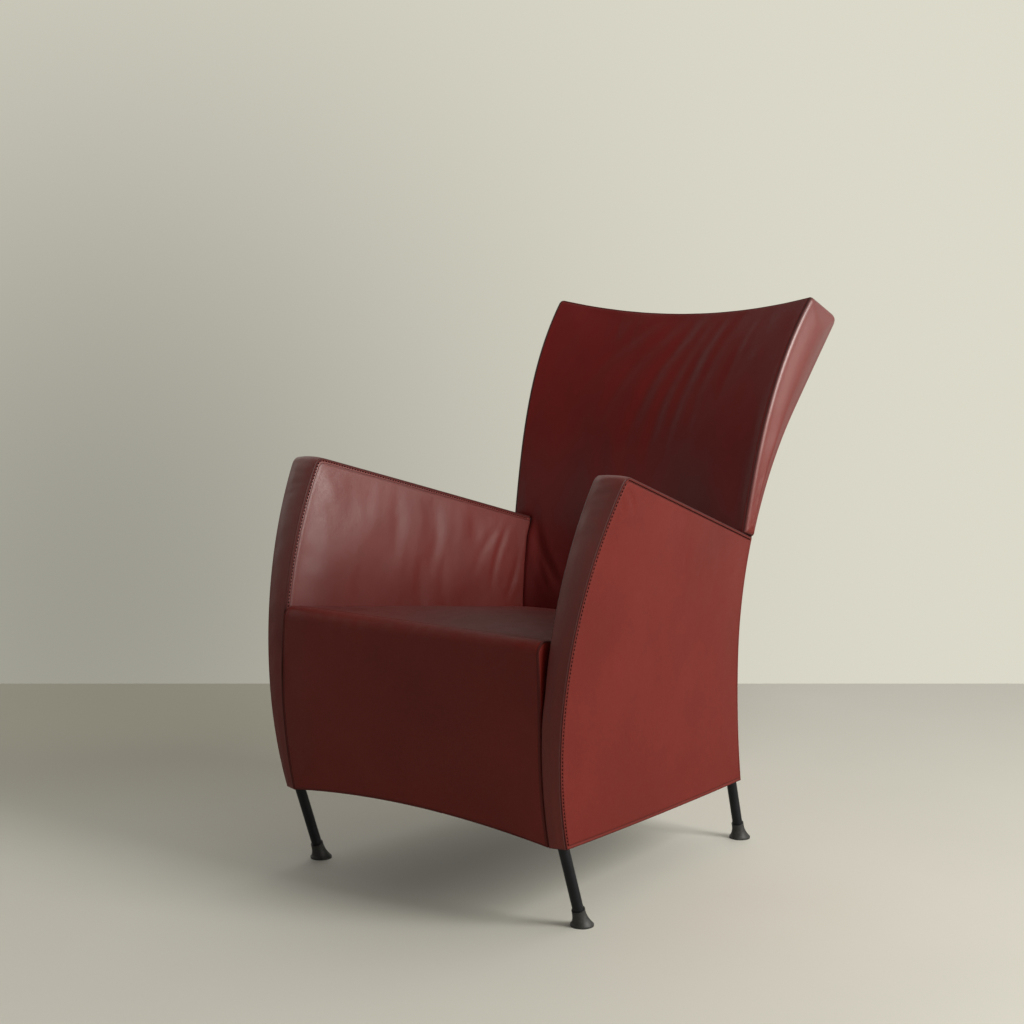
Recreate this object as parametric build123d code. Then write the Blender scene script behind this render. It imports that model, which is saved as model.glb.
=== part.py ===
from build123d import *
import os
from math import asin, cos, degrees, sqrt

# High-backed leather armchair on four tube legs. Millimetres, +Z up.
# The origin is on the floor under the middle of the bounding box, the sitter faces -Y,
# and left means the sitter's left hand, which is the +X side.

# Driving dimensions
HEIGHT = 1000.0
SEAT_HEIGHT = 470.0
SEAT_DROP = 72.0
SEAT_DEPTH = 596.0
ARM_HEIGHT = 716.0
ARM_REAR_HEIGHT = 563.0
FRONT_CLEARANCE = 140.0
REAR_CLEARANCE = 114.0

# Widths over the outside of the arms and between them
BASE_FRONT_WIDTH = 610.0
BASE_REAR_WIDTH = 500.0
ARM_SPLAY = 22.0
ARM_BOW = 31.0
BACK_FLARE = 37.0
FRONT_WALL = 28.5
INNER_SPREAD = 20.5
REAR_WALL = 39.0
SIDE_CROWN = 5.0
INNER_CROWN = 3.0

# Side outline, as setbacks behind the foremost plane
BELLY_HEIGHT = 330.0
ARM_BELLY_SETBACK = 6.0
ARM_FOOT_SETBACK = 35.0
ARM_TOP_SETBACK = 116.0
ARM_CORNER_RADIUS = 16.0
APRON_FOOT_SETBACK = 23.0
APRON_ARCH = 20.0

# Back: front face, rear face and top edge
BACK_LEAN = 105.0
TOP_DEPTH = 108.65
HOLLOW_LOW = 4.0
HOLLOW_GAIN = 41.0
WAIST_DROP = 38.0
WAIST_DEPTH = 36.0
REAR_FOOT_FLARE = 20.0
BEND_SHARE = 0.6672
BEND_LEAN = 151.0
REAR_CROWN = 14.0
TOP_SAG = 29.0
TOP_FALL = 39.0

# Layers of the upholstery and of what is under it
CLEARANCE = 0.3
COVER = 10.0
SHELL = 12.0
BAND_DEPTH = 14.0
REAR_COVER = 12.0
BOARD = 18.0
RAIL_WIDTH = 28.0
SEAT_RAIL_HEIGHT = 40.0
BASE_RAIL_HEIGHT = 35.0
BLOCK_LENGTH = 62.0
BLOCK_WIDTH = 66.0
BLOCK_HEIGHT = 45.0
BASE_INSET = 12.0

# Seat
SEAT_THICKNESS = 85.0
SEAT_SIDE_GAP = 2.5
SEAT_CROWN = 7.0
SEAT_EDGE_RADIUS = 9.0
APRON_DEPTH = 44.5
APRON_LIP_RADIUS = 15.0

# Webbing
WEB_THICKNESS = 2.0
WEB_WIDTH = 50.0
LONG_WEB_SHARES = (-0.4, -0.2, 0.0, 0.2, 0.4)
CROSS_WEBS = 6
BACK_WEB_SHARES = (0.0, 0.2, 0.4, 0.6, 0.8, 1.0)

# Steel tube of the legs and steel rod of the back
LEG_DIAMETER = 18.0
LEG_WALL = 1.5
FRONT_FOOT_INSET = 18.0
FRONT_FOOT_SETBACK = 101.0
FRONT_LEG_RAKE = 51.0
REAR_FOOT_INSET = 12.0
REAR_FOOT_REACH = 36.0
REAR_LEG_RAKE = 33.0
POST_DIAMETER = 16.0
POST_ROOM = 1.0
POST_TOP_MARGIN = 70.0

# Flared foot caps
CAP_BASE_DIAMETER = 38.0
CAP_NECK_DIAMETER = 22.0
CAP_HEIGHT = 31.0
CAP_RIM = 3.0
CAP_SOLE = 7.0
CAP_WAIST_SHARE = 0.36

# Lightening holes in the arm shells and in the front and rear boards, as shares of the rear board's height
HOLE_SHARE = 0.465
LOW_HOLE_SHARE = 0.57
HOLE_PITCH = 150.0
HOLE_ROW = 2
HIGH_HOLE_DROP = 63.0

# Leg plates
PLATE_THICKNESS = 4.0
PLATE_LENGTH = 66.0
PLATE_WIDTH = 78.0
PLATE_RADIUS = 8.0

# Dust cover
COVER_CLOTH = 1.2
REAR_ARCH = 2.0

# Overrun of a cutting tool or a blank past the piece it shapes
OVERRUN = 40.0

# Levels of the lofted blanks, and the crown of the seat's top along its depth
WALL_LEVEL_SHARES = (0.0, 0.25, 0.5, 0.75, 1.0)
BACK_LEVELS = 14
SETTLING_STEPS = 12
SEAT_CROWN_SHARES = ((0.0, 0.15), (0.5, 1.0), (1.0, 0.6))


# Outlines against height, first as setbacks behind the front plane
def arc_offset(rise, full_rise, full_offset):
    """Offset at a rise of the circle that starts upright and ends at the full rise and offset."""
    radius = (full_rise**2 + full_offset**2) / (2 * full_offset)
    return radius - sqrt(radius**2 - rise**2)


INNER_FRONT_WIDTH = BASE_FRONT_WIDTH - 2 * FRONT_WALL
SEAT_FRONT_WIDTH = INNER_FRONT_WIDTH - 2 * SEAT_SIDE_GAP
WAIST_HEIGHT = SEAT_HEIGHT - SEAT_DROP - WAIST_DROP
WAIST_SETBACK = SEAT_DEPTH + WAIST_DEPTH
BEND_RISE = (HEIGHT - WAIST_HEIGHT) * BEND_SHARE
BEND_HEIGHT = WAIST_HEIGHT + BEND_RISE
BEND_RADIUS = (BEND_RISE**2 + BEND_LEAN**2) / (2 * BEND_LEAN)
LEAN_ANGLE = asin(BEND_RISE / BEND_RADIUS)


def rear_setback(z):
    """Rear edge: flared foot, waist, a wide bend, then a straight lean to the top."""
    if z < WAIST_HEIGHT:
        return WAIST_SETBACK + arc_offset(WAIST_HEIGHT - z, WAIST_HEIGHT - REAR_CLEARANCE, REAR_FOOT_FLARE)
    if z < BEND_HEIGHT:
        return WAIST_SETBACK + arc_offset(z - WAIST_HEIGHT, BEND_RISE, BEND_LEAN)
    return WAIST_SETBACK + BEND_LEAN + (z - BEND_HEIGHT) * BEND_RISE / (BEND_RADIUS - BEND_LEAN)


DEPTH = rear_setback(HEIGHT - TOP_FALL)
FRONT_Y = -DEPTH / 2
REAR_Y = DEPTH / 2
BACK_CURL = DEPTH - TOP_DEPTH - SEAT_DEPTH - BACK_LEAN


def along(setback):
    """Y at a setback behind the foremost plane."""
    return FRONT_Y + setback


def rear_y(z):
    """Y of the rear edge at a height."""
    return along(rear_setback(z))


def arm_front_y(z):
    """Convex front edge of the arms, foremost at the belly."""
    belly = along(ARM_BELLY_SETBACK)
    if z < BELLY_HEIGHT:
        sweep_back = ARM_FOOT_SETBACK - ARM_BELLY_SETBACK
        return belly + arc_offset(BELLY_HEIGHT - z, BELLY_HEIGHT - FRONT_CLEARANCE, sweep_back)
    sweep_back = ARM_TOP_SETBACK - ARM_BELLY_SETBACK
    return belly + arc_offset(z - BELLY_HEIGHT, ARM_HEIGHT - BELLY_HEIGHT, sweep_back)


def back_share(z):
    """Share of the way from the seat's rear edge to the top corners."""
    foot = SEAT_HEIGHT - SEAT_DROP
    return (z - foot) / (HEIGHT - foot)


def back_front_y(z):
    """Front edge of the back at its sides: it leans, then curls away near the top."""
    share = back_share(z)
    return along(SEAT_DEPTH) + BACK_LEAN * share + BACK_CURL * max(share, 0) ** 4


def hollow(z):
    """Depth of the dish in the inside back, from its sides to its middle."""
    return HOLLOW_LOW + HOLLOW_GAIN * max(back_share(z), 0)


# Straight height lines along the body
def base_z(y):
    """Bottom edge of the upholstered body, which falls towards the rear."""
    run = WAIST_SETBACK + REAR_FOOT_FLARE - ARM_FOOT_SETBACK
    return FRONT_CLEARANCE - (FRONT_CLEARANCE - REAR_CLEARANCE) * (y - along(ARM_FOOT_SETBACK)) / run


def seat_z(y):
    """Top of the seat at its sides, which falls towards the back."""
    return SEAT_HEIGHT - SEAT_DROP * (y - FRONT_Y) / SEAT_DEPTH


def arm_top_z(y):
    """Straight top edge of the arms."""
    front, rear = along(ARM_TOP_SETBACK), rear_y(ARM_REAR_HEIGHT)
    return ARM_HEIGHT - (ARM_HEIGHT - ARM_REAR_HEIGHT) * (y - front) / (rear - front)


# Half widths
def rear_half_width(z):
    """Half width over the rear edges, and of the back, which flares on its way up."""
    share = (z - REAR_CLEARANCE) / (HEIGHT - REAR_CLEARANCE)
    return BASE_REAR_WIDTH / 2 + BACK_FLARE * share**2


def arm_share(z):
    """Share of the way up the arm's front."""
    return (z - FRONT_CLEARANCE) / (ARM_HEIGHT - FRONT_CLEARANCE)


def wall_x(y, z, front_x, rear_x, crown):
    """Straight line in plan between the front and rear edges, bowed by its crown."""
    share = (y - arm_front_y(z)) / (rear_y(z) - arm_front_y(z))
    return front_x + (rear_x - front_x) * share + 4 * crown * share * (1 - share)


def outer_x(y, z, inward=0):
    """Outside of the arm, or a surface a set distance inward of it."""
    share = arm_share(z)
    front_x = BASE_FRONT_WIDTH / 2 + share * (ARM_SPLAY + ARM_BOW * share)
    return wall_x(y, z, front_x, rear_half_width(z), SIDE_CROWN) - inward


def inner_x(y, z, inward=0):
    """Inside of the arm, or a surface a set distance inward of it."""
    front_x = INNER_FRONT_WIDTH / 2 + INNER_SPREAD * arm_share(z) ** 2
    return wall_x(y, z, front_x, rear_half_width(z) - REAR_WALL, -INNER_CROWN) - inward


# Blanks: lofts through level sections
def wall_slab(outside, inside, low=REAR_CLEARANCE - OVERRUN):
    """One layer of the left arm, between two surfaces, longer and taller than the arm."""
    stations = (FRONT_Y - OVERRUN / 4, along(SEAT_DEPTH / 2), rear_y(WAIST_HEIGHT) + OVERRUN)
    high = ARM_HEIGHT + OVERRUN
    sections = []
    for share in WALL_LEVEL_SHARES:
        z = low + (high - low) * share
        out_points = [(outside(y, z), y, z) for y in stations]
        in_points = [(inside(y, z), y, z) for y in reversed(stations)]
        outline = ThreePointArc(*out_points) + Line(out_points[-1], in_points[0])
        outline += ThreePointArc(*in_points) + Line(in_points[-1], out_points[0])
        sections.append(make_face(outline))
    return loft(sections)


def between(surface):
    """Everything between a surface of the left arm and its mirror image."""
    stations = (FRONT_Y - OVERRUN, along(SEAT_DEPTH / 2), REAR_Y + OVERRUN)
    low, high = REAR_CLEARANCE - OVERRUN, ARM_HEIGHT + OVERRUN
    sections = []
    for share in WALL_LEVEL_SHARES:
        z = low + (high - low) * share
        left = [(surface(y, z), y, z) for y in stations]
        right = [(-surface(y, z), y, z) for y in reversed(stations)]
        outline = ThreePointArc(*left) + Line(left[-1], right[0])
        outline += ThreePointArc(*right) + Line(right[-1], left[0])
        sections.append(make_face(outline))
    return loft(sections)


def back_slab(front, rear, half_width, low, high):
    """A layer of the back between two dished faces, each given as (side y, middle y) of a height.

    The side y belongs to the full half width, and a narrower layer takes the dish's y at its own side.
    """
    sections = []
    for level in range(BACK_LEVELS):
        z = low + (high - low) * level / (BACK_LEVELS - 1)
        half = half_width(z)
        dish_share = (half / rear_half_width(z)) ** 2
        (front_side, front_middle), (rear_side, rear_middle) = front(z), rear(z)
        front_side = front_middle + (front_side - front_middle) * dish_share
        rear_side = rear_middle + (rear_side - rear_middle) * dish_share
        outline = ThreePointArc((-half, front_side, z), (0, front_middle, z), (half, front_side, z))
        outline += Line((half, front_side, z), (half, rear_side, z))
        outline += ThreePointArc((half, rear_side, z), (0, rear_middle, z), (-half, rear_side, z))
        outline += Line((-half, rear_side, z), (-half, front_side, z))
        sections.append(make_face(outline))
    return loft(sections)


def front_face(z):
    """The dished front of the back at a height, at its sides and in its middle."""
    side = back_front_y(z)
    return side, side + hollow(z)


def rear_face(inward):
    """The rear face moved forward by a distance."""
    return lambda z: (rear_y(z) - inward, rear_y(z) + REAR_CROWN - inward)


# Side prisms: outlines in the YZ plane, extruded across the chair
def side_prism(outline):
    """A side outline extruded over the whole width."""
    width = BASE_FRONT_WIDTH + 2 * (ARM_SPLAY + ARM_BOW + OVERRUN)
    return extrude(make_face(outline), width / 2, dir=(1, 0, 0), both=True)


def strip(line, low, high, front=FRONT_Y - OVERRUN, rear=REAR_Y + OVERRUN):
    """Prism between two offsets of a straight height line, from a front to a rear plane."""
    corners = [(0, front, line(front) + low), (0, rear, line(rear) + low)]
    corners += [(0, rear, line(rear) + high), (0, front, line(front) + high)]
    return side_prism(Polyline(*corners, close=True))


def settle(z, step):
    """The height at which one more step changes nothing."""
    for _ in range(SETTLING_STEPS):
        z = step(z)
    return z


def arm_outline(inset, rear_inset, low_z):
    """Side outline of an arm, inset from its front and top edge and from the rear face."""
    top_front_z = settle(ARM_HEIGHT, lambda z: arm_top_z(arm_front_y(z) + inset) - inset)
    middle_z = (BELLY_HEIGHT + top_front_z) / 2
    low_front_z = low_z(along(ARM_FOOT_SETBACK))
    lower_z = (BELLY_HEIGHT + low_front_z) / 2
    rear_top_z = settle(ARM_REAR_HEIGHT, lambda z: arm_top_z(rear_y(z) - rear_inset) - inset)
    rear_low_z = low_z(rear_y(REAR_CLEARANCE))

    def front_point(z):
        return (0, arm_front_y(z) + inset, z)

    def rear_point(z):
        return (0, rear_y(z) - rear_inset, z)

    outline = ThreePointArc(front_point(low_front_z), front_point(lower_z), front_point(BELLY_HEIGHT))
    outline += ThreePointArc(front_point(BELLY_HEIGHT), front_point(middle_z), front_point(top_front_z))
    outline += Line(front_point(top_front_z), rear_point(rear_top_z))
    upper_rear_z = (WAIST_HEIGHT + rear_top_z) / 2
    lower_rear_z = (WAIST_HEIGHT + rear_low_z) / 2
    outline += ThreePointArc(rear_point(rear_top_z), rear_point(upper_rear_z), rear_point(WAIST_HEIGHT))
    outline += ThreePointArc(rear_point(WAIST_HEIGHT), rear_point(lower_rear_z), rear_point(rear_low_z))
    outline += Line(rear_point(rear_low_z), front_point(low_front_z))
    face = make_face(outline)
    corner = face.vertices().sort_by(Axis.Z)[-1]
    face = fillet(corner, ARM_CORNER_RADIUS - min(inset, ARM_CORNER_RADIUS / 2))
    width = BASE_FRONT_WIDTH + 2 * (ARM_SPLAY + ARM_BOW + OVERRUN)
    return extrude(face, width / 2, dir=(1, 0, 0), both=True)


def top_cut(inward):
    """Everything above the sagging top edge of the back, less a distance; it falls rearwards."""
    half = BASE_REAR_WIDTH / 2 + BACK_FLARE
    top = HEIGHT - inward
    reach = half + OVERRUN
    front = back_front_y(HEIGHT)
    fall = Vector(0, rear_y(HEIGHT - TOP_FALL) - front, -TOP_FALL)
    sag_radius = (half**2 + TOP_SAG**2) / (2 * TOP_SAG)
    rise = sag_radius - sqrt(sag_radius**2 - reach**2)
    low = top - TOP_SAG
    outline = ThreePointArc((-reach, front, low + rise), (0, front, low), (reach, front, low + rise))
    outline += Polyline(
        (reach, front, low + rise), (reach, front, low + rise + 4 * OVERRUN),
        (-reach, front, low + rise + 4 * OVERRUN), (-reach, front, low + rise),
    )
    face = make_face(outline)
    return extrude(face, fall.length * 2, dir=tuple(fall), both=True)


def ring_tube(centre, direction, length, diameter, wall):
    """Straight tube from a point along a direction."""
    plane = Plane(origin=centre, z_dir=direction)
    outside = extrude(plane * Circle(diameter / 2), length)
    return outside - extrude(plane * Circle(diameter / 2 - wall), length)


def rod(centre, direction, length, diameter):
    """Straight rod from a point along a direction."""
    return extrude(Plane(origin=centre, z_dir=direction) * Circle(diameter / 2), length)


def hole_row(middle):
    """Cutters for a row of round holes about a middle place, square to its plane."""
    places = GridLocations(HOLE_PITCH, HOLE_PITCH, HOLE_ROW, 1)
    return [extrude(middle * place * Circle(hole_diameter / 2), DEPTH, both=True) for place in places]


parts = {}


def both_sides(name, solid):
    """Keeps the left piece and its mirror image on the right."""
    parts[f"{name}_left"] = solid
    parts[f"{name}_right"] = mirror(solid, about=Plane.YZ)


# Legs: a raked tube under each corner, welded to a plate
def leg_line(foot_x, foot_setback, rake, clearance):
    """Foot point and unit direction of a leg that leans forward by its rake under the body."""
    foot = Vector(foot_x, along(foot_setback), 0)
    return foot, Vector(0, -rake, clearance).normalized()


front_foot_x = BASE_FRONT_WIDTH / 2 - FRONT_FOOT_INSET
rear_foot_x = BASE_REAR_WIDTH / 2 - REAR_FOOT_INSET
rear_foot_setback = WAIST_SETBACK + REAR_FOOT_REACH
legs = {
    "front": leg_line(front_foot_x, FRONT_FOOT_SETBACK, FRONT_LEG_RAKE, FRONT_CLEARANCE),
    "rear": leg_line(rear_foot_x, rear_foot_setback, REAR_LEG_RAKE, REAR_CLEARANCE),
}
plate_low = BASE_INSET - CLEARANCE - PLATE_THICKNESS
below_plates = strip(base_z, -HEIGHT, plate_low)
leg_reach = FRONT_CLEARANCE + OVERRUN
leg_clear = {}
for end, (foot, direction) in legs.items():
    tube_start = foot + direction * (CAP_SOLE / direction.Z)
    tube = ring_tube(tube_start, direction, leg_reach, LEG_DIAMETER, LEG_WALL)
    both_sides(f"leg_{end}", tube & below_plates)
    leg_clear[end] = rod(tube_start, direction, leg_reach, LEG_DIAMETER + 2 * CLEARANCE)

# Foot caps: a flat sole on the floor that draws in to a neck square to the leaning tube
for end, (foot, direction) in legs.items():
    upright = Vector(0, 0, 1)
    rim_top = foot + upright * CAP_RIM
    waist = foot + direction * (CAP_HEIGHT * CAP_WAIST_SHARE)
    neck = foot + direction * CAP_HEIGHT
    half_tilt = (upright + direction).normalized()
    waist_diameter = CAP_NECK_DIAMETER + (CAP_BASE_DIAMETER - CAP_NECK_DIAMETER) * CAP_WAIST_SHARE
    flare = loft([
        Plane(origin=rim_top, z_dir=upright) * Circle(CAP_BASE_DIAMETER / 2),
        Plane(origin=waist, z_dir=half_tilt) * Circle(waist_diameter / 2),
        Plane(origin=neck, z_dir=direction) * Circle(CAP_NECK_DIAMETER / 2),
    ])
    sole = rod(foot, upright, CAP_RIM, CAP_BASE_DIAMETER)
    socket_start = foot + direction * (CAP_SOLE / direction.Z)
    socket = rod(socket_start, direction, CAP_HEIGHT, LEG_DIAMETER + 2 * CLEARANCE)
    both_sides(f"foot_cap_{end}", flare + sole - socket)

# Leg plates: rounded steel plates under the frame's corners
plate_front = along(max(APRON_DEPTH, ARM_FOOT_SETBACK + BAND_DEPTH)) + CLEARANCE
plate_rear = rear_y(REAR_CLEARANCE + 2 * BASE_INSET) - REAR_COVER - 2 * CLEARANCE
plate_slab = strip(base_z, plate_low, BASE_INSET - CLEARANCE, plate_front, plate_rear)
plate_slab &= between(lambda y, z: outer_x(y, z, COVER + CLEARANCE))
for end, (foot, direction) in legs.items():
    entry = foot + direction * (base_z(foot.Y) / direction.Z)
    toward_middle = 1 if end == "front" else -1
    plate_x = entry.X + LEG_DIAMETER / 2 - PLATE_WIDTH / 2
    plate_y = entry.Y + toward_middle * (PLATE_LENGTH - LEG_DIAMETER) / 2
    outline = Pos(plate_x, plate_y) * RectangleRounded(PLATE_WIDTH, PLATE_LENGTH, PLATE_RADIUS)
    both_sides(f"leg_plate_{end}", extrude(outline, HEIGHT / 2) & plate_slab)

# Levels under the seat's top: long straps, cross straps and boards, and rails
web_top = -SEAT_THICKNESS - CLEARANCE
board_top = web_top - WEB_THICKNESS - CLEARANCE
rail_top = board_top - WEB_THICKNESS - CLEARANCE
board_low_z = base_z(along(WAIST_SETBACK)) + BASE_INSET
board_high_z = seat_z(along(WAIST_SETBACK)) + board_top
low_hole_z = board_low_z + (board_high_z - board_low_z) * LOW_HOLE_SHARE
high_hole_z = ARM_REAR_HEIGHT - HIGH_HOLE_DROP
hole_diameter = (board_high_z - board_low_z) * HOLE_SHARE

# Arms: moulded shell between an outer and an inner pad, with a band over front and top
leg_space = leg_clear["front"] + leg_clear["rear"]
rear_inset = REAR_COVER + 2 * CLEARANCE
full_arm = arm_outline(0, rear_inset, base_z)
core_arm = arm_outline(BAND_DEPTH + CLEARANCE, rear_inset, base_z)
shell_out = COVER + CLEARANCE
shell_in = shell_out + SHELL
pad_out = shell_in + CLEARANCE

# Posts: bent rods that stand on the rear leg plates, upright to the waist, then bent with the rear face
post_radius = POST_DIAMETER / 2
post_back = REAR_COVER + (post_radius + POST_ROOM) / cos(LEAN_ANGLE)
post_y = along(WAIST_SETBACK) - post_back
post_low = base_z(post_y - post_radius) + BASE_INSET + CLEARANCE
post_inward = pad_out + 2 * CLEARANCE + post_radius + POST_ROOM
low_x = rear_half_width(post_low) - post_inward
high_x = rear_half_width(ARM_REAR_HEIGHT) - post_inward - POST_ROOM
post_splay = (high_x - low_x) / (ARM_REAR_HEIGHT - post_low)


def post_x(z):
    """Middle of the left post, which splays evenly on its way up."""
    return low_x + (z - post_low) * post_splay


top_z = HEIGHT - TOP_SAG - POST_TOP_MARGIN
upright = Line((0, 0), (0, WAIST_HEIGHT - post_low))
bend = JernArc(upright @ 1, upright % 1, BEND_RADIUS, -degrees(LEAN_ANGLE))
lean = Line(bend @ 1, bend @ 1 + (bend % 1) * ((top_z - BEND_HEIGHT) / cos(LEAN_ANGLE)))
post_plane = Plane(origin=(low_x, post_y, post_low), x_dir=(0, 1, 0), z_dir=(1, 0, -post_splay))
post_path = post_plane * Wire([upright, bend, lean])
post_start = Plane(origin=post_path @ 0, z_dir=post_path % 0)
both_sides("back_post", sweep(post_start * Circle(post_radius), path=post_path))
post_space = sweep(post_start * Circle(post_radius + 2 * CLEARANCE), path=post_path)

# Top rail: rod bent with the rear face, lying across the posts' ends
rail_end = (post_path @ 1) + (post_path % 1) * (post_radius + CLEARANCE) + Vector(post_radius, 0, 0)
rail_path = ThreePointArc(
    (-rail_end.X, rail_end.Y, rail_end.Z), (0, rail_end.Y + REAR_CROWN, rail_end.Z), tuple(rail_end)
)
rail_start = Plane(origin=rail_path @ 0, z_dir=rail_path % 0)
parts["back_top_rail"] = sweep(rail_start * Circle(post_radius), path=rail_path)
rail_space = sweep(rail_start * Circle(post_radius + 2 * CLEARANCE), path=rail_path)
tube_space = [post_space, mirror(post_space, about=Plane.YZ), rail_space]

# Arm layers, each leaving room for the legs and the posts
full_wall = wall_slab(outer_x, inner_x)
band_core = arm_outline(BAND_DEPTH, -OVERRUN, lambda y: base_z(y) - OVERRUN)
band = (full_wall & full_arm) - band_core - leg_space - post_space
both_sides("arm_band", band.solids().sort_by(SortBy.VOLUME)[-1])
outer_layer = wall_slab(outer_x, lambda y, z: outer_x(y, z, COVER))
both_sides("arm_outer_pad", (outer_layer & core_arm) - leg_space)
inner_layer = wall_slab(lambda y, z: outer_x(y, z, pad_out), inner_x, BELLY_HEIGHT - OVERRUN)
pad_inset = post_back + post_radius + POST_ROOM
pad_outline = arm_outline(BAND_DEPTH + CLEARANCE, pad_inset, base_z) & strip(seat_z, -SEAT_THICKNESS, HEIGHT)
both_sides("arm_inner_pad", inner_layer & pad_outline)

shell_layer = wall_slab(lambda y, z: outer_x(y, z, shell_out), lambda y, z: outer_x(y, z, shell_in))
shell = (shell_layer & core_arm & strip(base_z, BASE_INSET, HEIGHT)) - post_space
for z in (low_hole_z, high_hole_z):
    shell -= hole_row(Plane.YZ * Pos(along(SEAT_DEPTH / 2), z))
both_sides("arm_shell", shell.solids().sort_by(SortBy.VOLUME)[-1])

# Back: dished cushion, outer panel, side bands and top band
low_level, high_level = REAR_CLEARANCE - OVERRUN, HEIGHT + OVERRUN / 4
above_base = strip(base_z, 0, 2 * HEIGHT)
above_arms = strip(arm_top_z, CLEARANCE, HEIGHT)
below_arms = strip(arm_top_z, -HEIGHT, CLEARANCE)


def band_width(inward):
    """Half width of the back, less a distance."""
    return lambda z: rear_half_width(z) - inward


panel = back_slab(rear_face(REAR_COVER), rear_face(0), rear_half_width, low_level, high_level)
parts["back_outer_panel"] = (panel & above_base) - top_cut(0) - [leg_space, mirror(leg_space, about=Plane.YZ)]

band_blank = back_slab(front_face, rear_face(rear_inset), rear_half_width, low_level, high_level)
inner_blank = back_slab(
    lambda z: (back_front_y(z) - OVERRUN, back_front_y(z) - OVERRUN + hollow(z)),
    rear_face(-OVERRUN), band_width(COVER), low_level, high_level,
)
side_bands = ((band_blank - inner_blank) & above_arms) - top_cut(0)
both_sides("back_side_band", side_bands.solids().sort_by(Axis.X)[-1])

core_width = band_width(COVER + CLEARANCE)
top_blank = back_slab(front_face, rear_face(rear_inset), core_width, low_level, high_level)
parts["back_top_band"] = (top_blank & top_cut(COVER)) - top_cut(0)

cushion_rear = rear_face(post_back)
cushion_blank = back_slab(front_face, cushion_rear, core_width, low_level, high_level)
arm_zone = wall_slab(lambda y, z: outer_x(y, z, -OVERRUN), lambda y, z: inner_x(y, z, CLEARANCE)) & below_arms
cushion = (cushion_blank & strip(seat_z, -SEAT_THICKNESS, 2 * HEIGHT)) - top_cut(COVER + CLEARANCE)
cushion -= [arm_zone, mirror(arm_zone, about=Plane.YZ)]
cushion -= tube_space
parts["back_cushion"] = cushion.solids().sort_by(SortBy.VOLUME)[-1]

# Back webbing: straps across between the posts, behind the cushion
web_front = post_back - CLEARANCE
web_rear = web_front - WEB_THICKNESS

def between_posts(z):
    """Half width of what fits between the posts."""
    return post_x(z) - post_radius - 2 * CLEARANCE


web_blank = back_slab(rear_face(web_front), rear_face(web_rear), between_posts, low_level, high_level)
web_low, web_high = SEAT_HEIGHT - SEAT_DROP, top_z - WEB_WIDTH - POST_DIAMETER
straps = []
for share in BACK_WEB_SHARES:
    z = web_low + (web_high - web_low) * share
    straps.append(Pos(0, 0, z + WEB_WIDTH / 2) * Box(BASE_FRONT_WIDTH, 2 * DEPTH, WEB_WIDTH))
parts["back_webbing"] = Compound(children=[web_blank & strap for strap in straps])


def arch_prism(lift):
    """Everything above the arched bottom edge of the front, raised by a lift."""
    half = SEAT_FRONT_WIDTH / 2
    low = base_z(along(APRON_FOOT_SETBACK)) + lift
    outline = ThreePointArc((-half, 0, low), (0, 0, low + APRON_ARCH), (half, 0, low))
    outline += Polyline((half, 0, low), (half, 0, HEIGHT), (-half, 0, HEIGHT), (-half, 0, low))
    return extrude(make_face(outline), DEPTH, dir=(0, 1, 0), both=True)


# Front apron: full-height padded panel that rolls over the seat's front edge
apron_rear = along(APRON_DEPTH)
apron_low = base_z(along(APRON_FOOT_SETBACK))
apron_arc_rise = (BELLY_HEIGHT - apron_low) / 2
apron_arc_y = FRONT_Y + arc_offset(apron_arc_rise, 2 * apron_arc_rise, APRON_FOOT_SETBACK)
lip_y = FRONT_Y + APRON_LIP_RADIUS
lip_z = seat_z(lip_y)
lip_share = 1 - sqrt(1 / 2)
outline = ThreePointArc(
    (0, along(APRON_FOOT_SETBACK), apron_low),
    (0, apron_arc_y, apron_low + apron_arc_rise),
    (0, FRONT_Y, BELLY_HEIGHT),
)
outline += Line((0, FRONT_Y, BELLY_HEIGHT), (0, FRONT_Y, lip_z - APRON_LIP_RADIUS))
outline += ThreePointArc(
    (0, FRONT_Y, lip_z - APRON_LIP_RADIUS),
    (0, FRONT_Y + APRON_LIP_RADIUS * lip_share, lip_z - APRON_LIP_RADIUS * lip_share),
    (0, lip_y, lip_z),
)
outline += Polyline(
    (0, lip_y, lip_z), (0, apron_rear, seat_z(apron_rear)), (0, apron_rear, apron_low),
    (0, along(APRON_FOOT_SETBACK), apron_low),
)
parts["front_apron"] = side_prism(outline) & arch_prism(0)

# Seat cushion: crowned top and drawn-in upper edges, cut to the slope of the back
seat_front = apron_rear + CLEARANCE
seat_rear = along(SEAT_DEPTH) + OVERRUN
corner_share = sqrt(1 / 2)


def seat_section(depth_share, crown_share):
    """Section across the seat: crowned top, rounded shoulders, straight sides and a flat bottom."""
    y = seat_front + (seat_rear - seat_front) * depth_share
    front_half = SEAT_FRONT_WIDTH / 2
    rear_half = inner_x(seat_rear, seat_z(seat_rear), -SEAT_EDGE_RADIUS)
    half = front_half + (rear_half - front_half) * depth_share
    top, bottom = seat_z(y), seat_z(y) - SEAT_THICKNESS
    flat_half, side_top = half - SEAT_EDGE_RADIUS, top - SEAT_EDGE_RADIUS
    shoulder_x = flat_half + SEAT_EDGE_RADIUS * corner_share
    shoulder_z = side_top + SEAT_EDGE_RADIUS * corner_share
    crown_z = top + SEAT_CROWN * crown_share
    outline = ThreePointArc((half, y, side_top), (shoulder_x, y, shoulder_z), (flat_half, y, top))
    outline += ThreePointArc((flat_half, y, top), (0, y, crown_z), (-flat_half, y, top))
    outline += ThreePointArc((-flat_half, y, top), (-shoulder_x, y, shoulder_z), (-half, y, side_top))
    outline += Polyline((-half, y, side_top), (-half, y, bottom), (half, y, bottom), (half, y, side_top))
    return make_face(outline)


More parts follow.
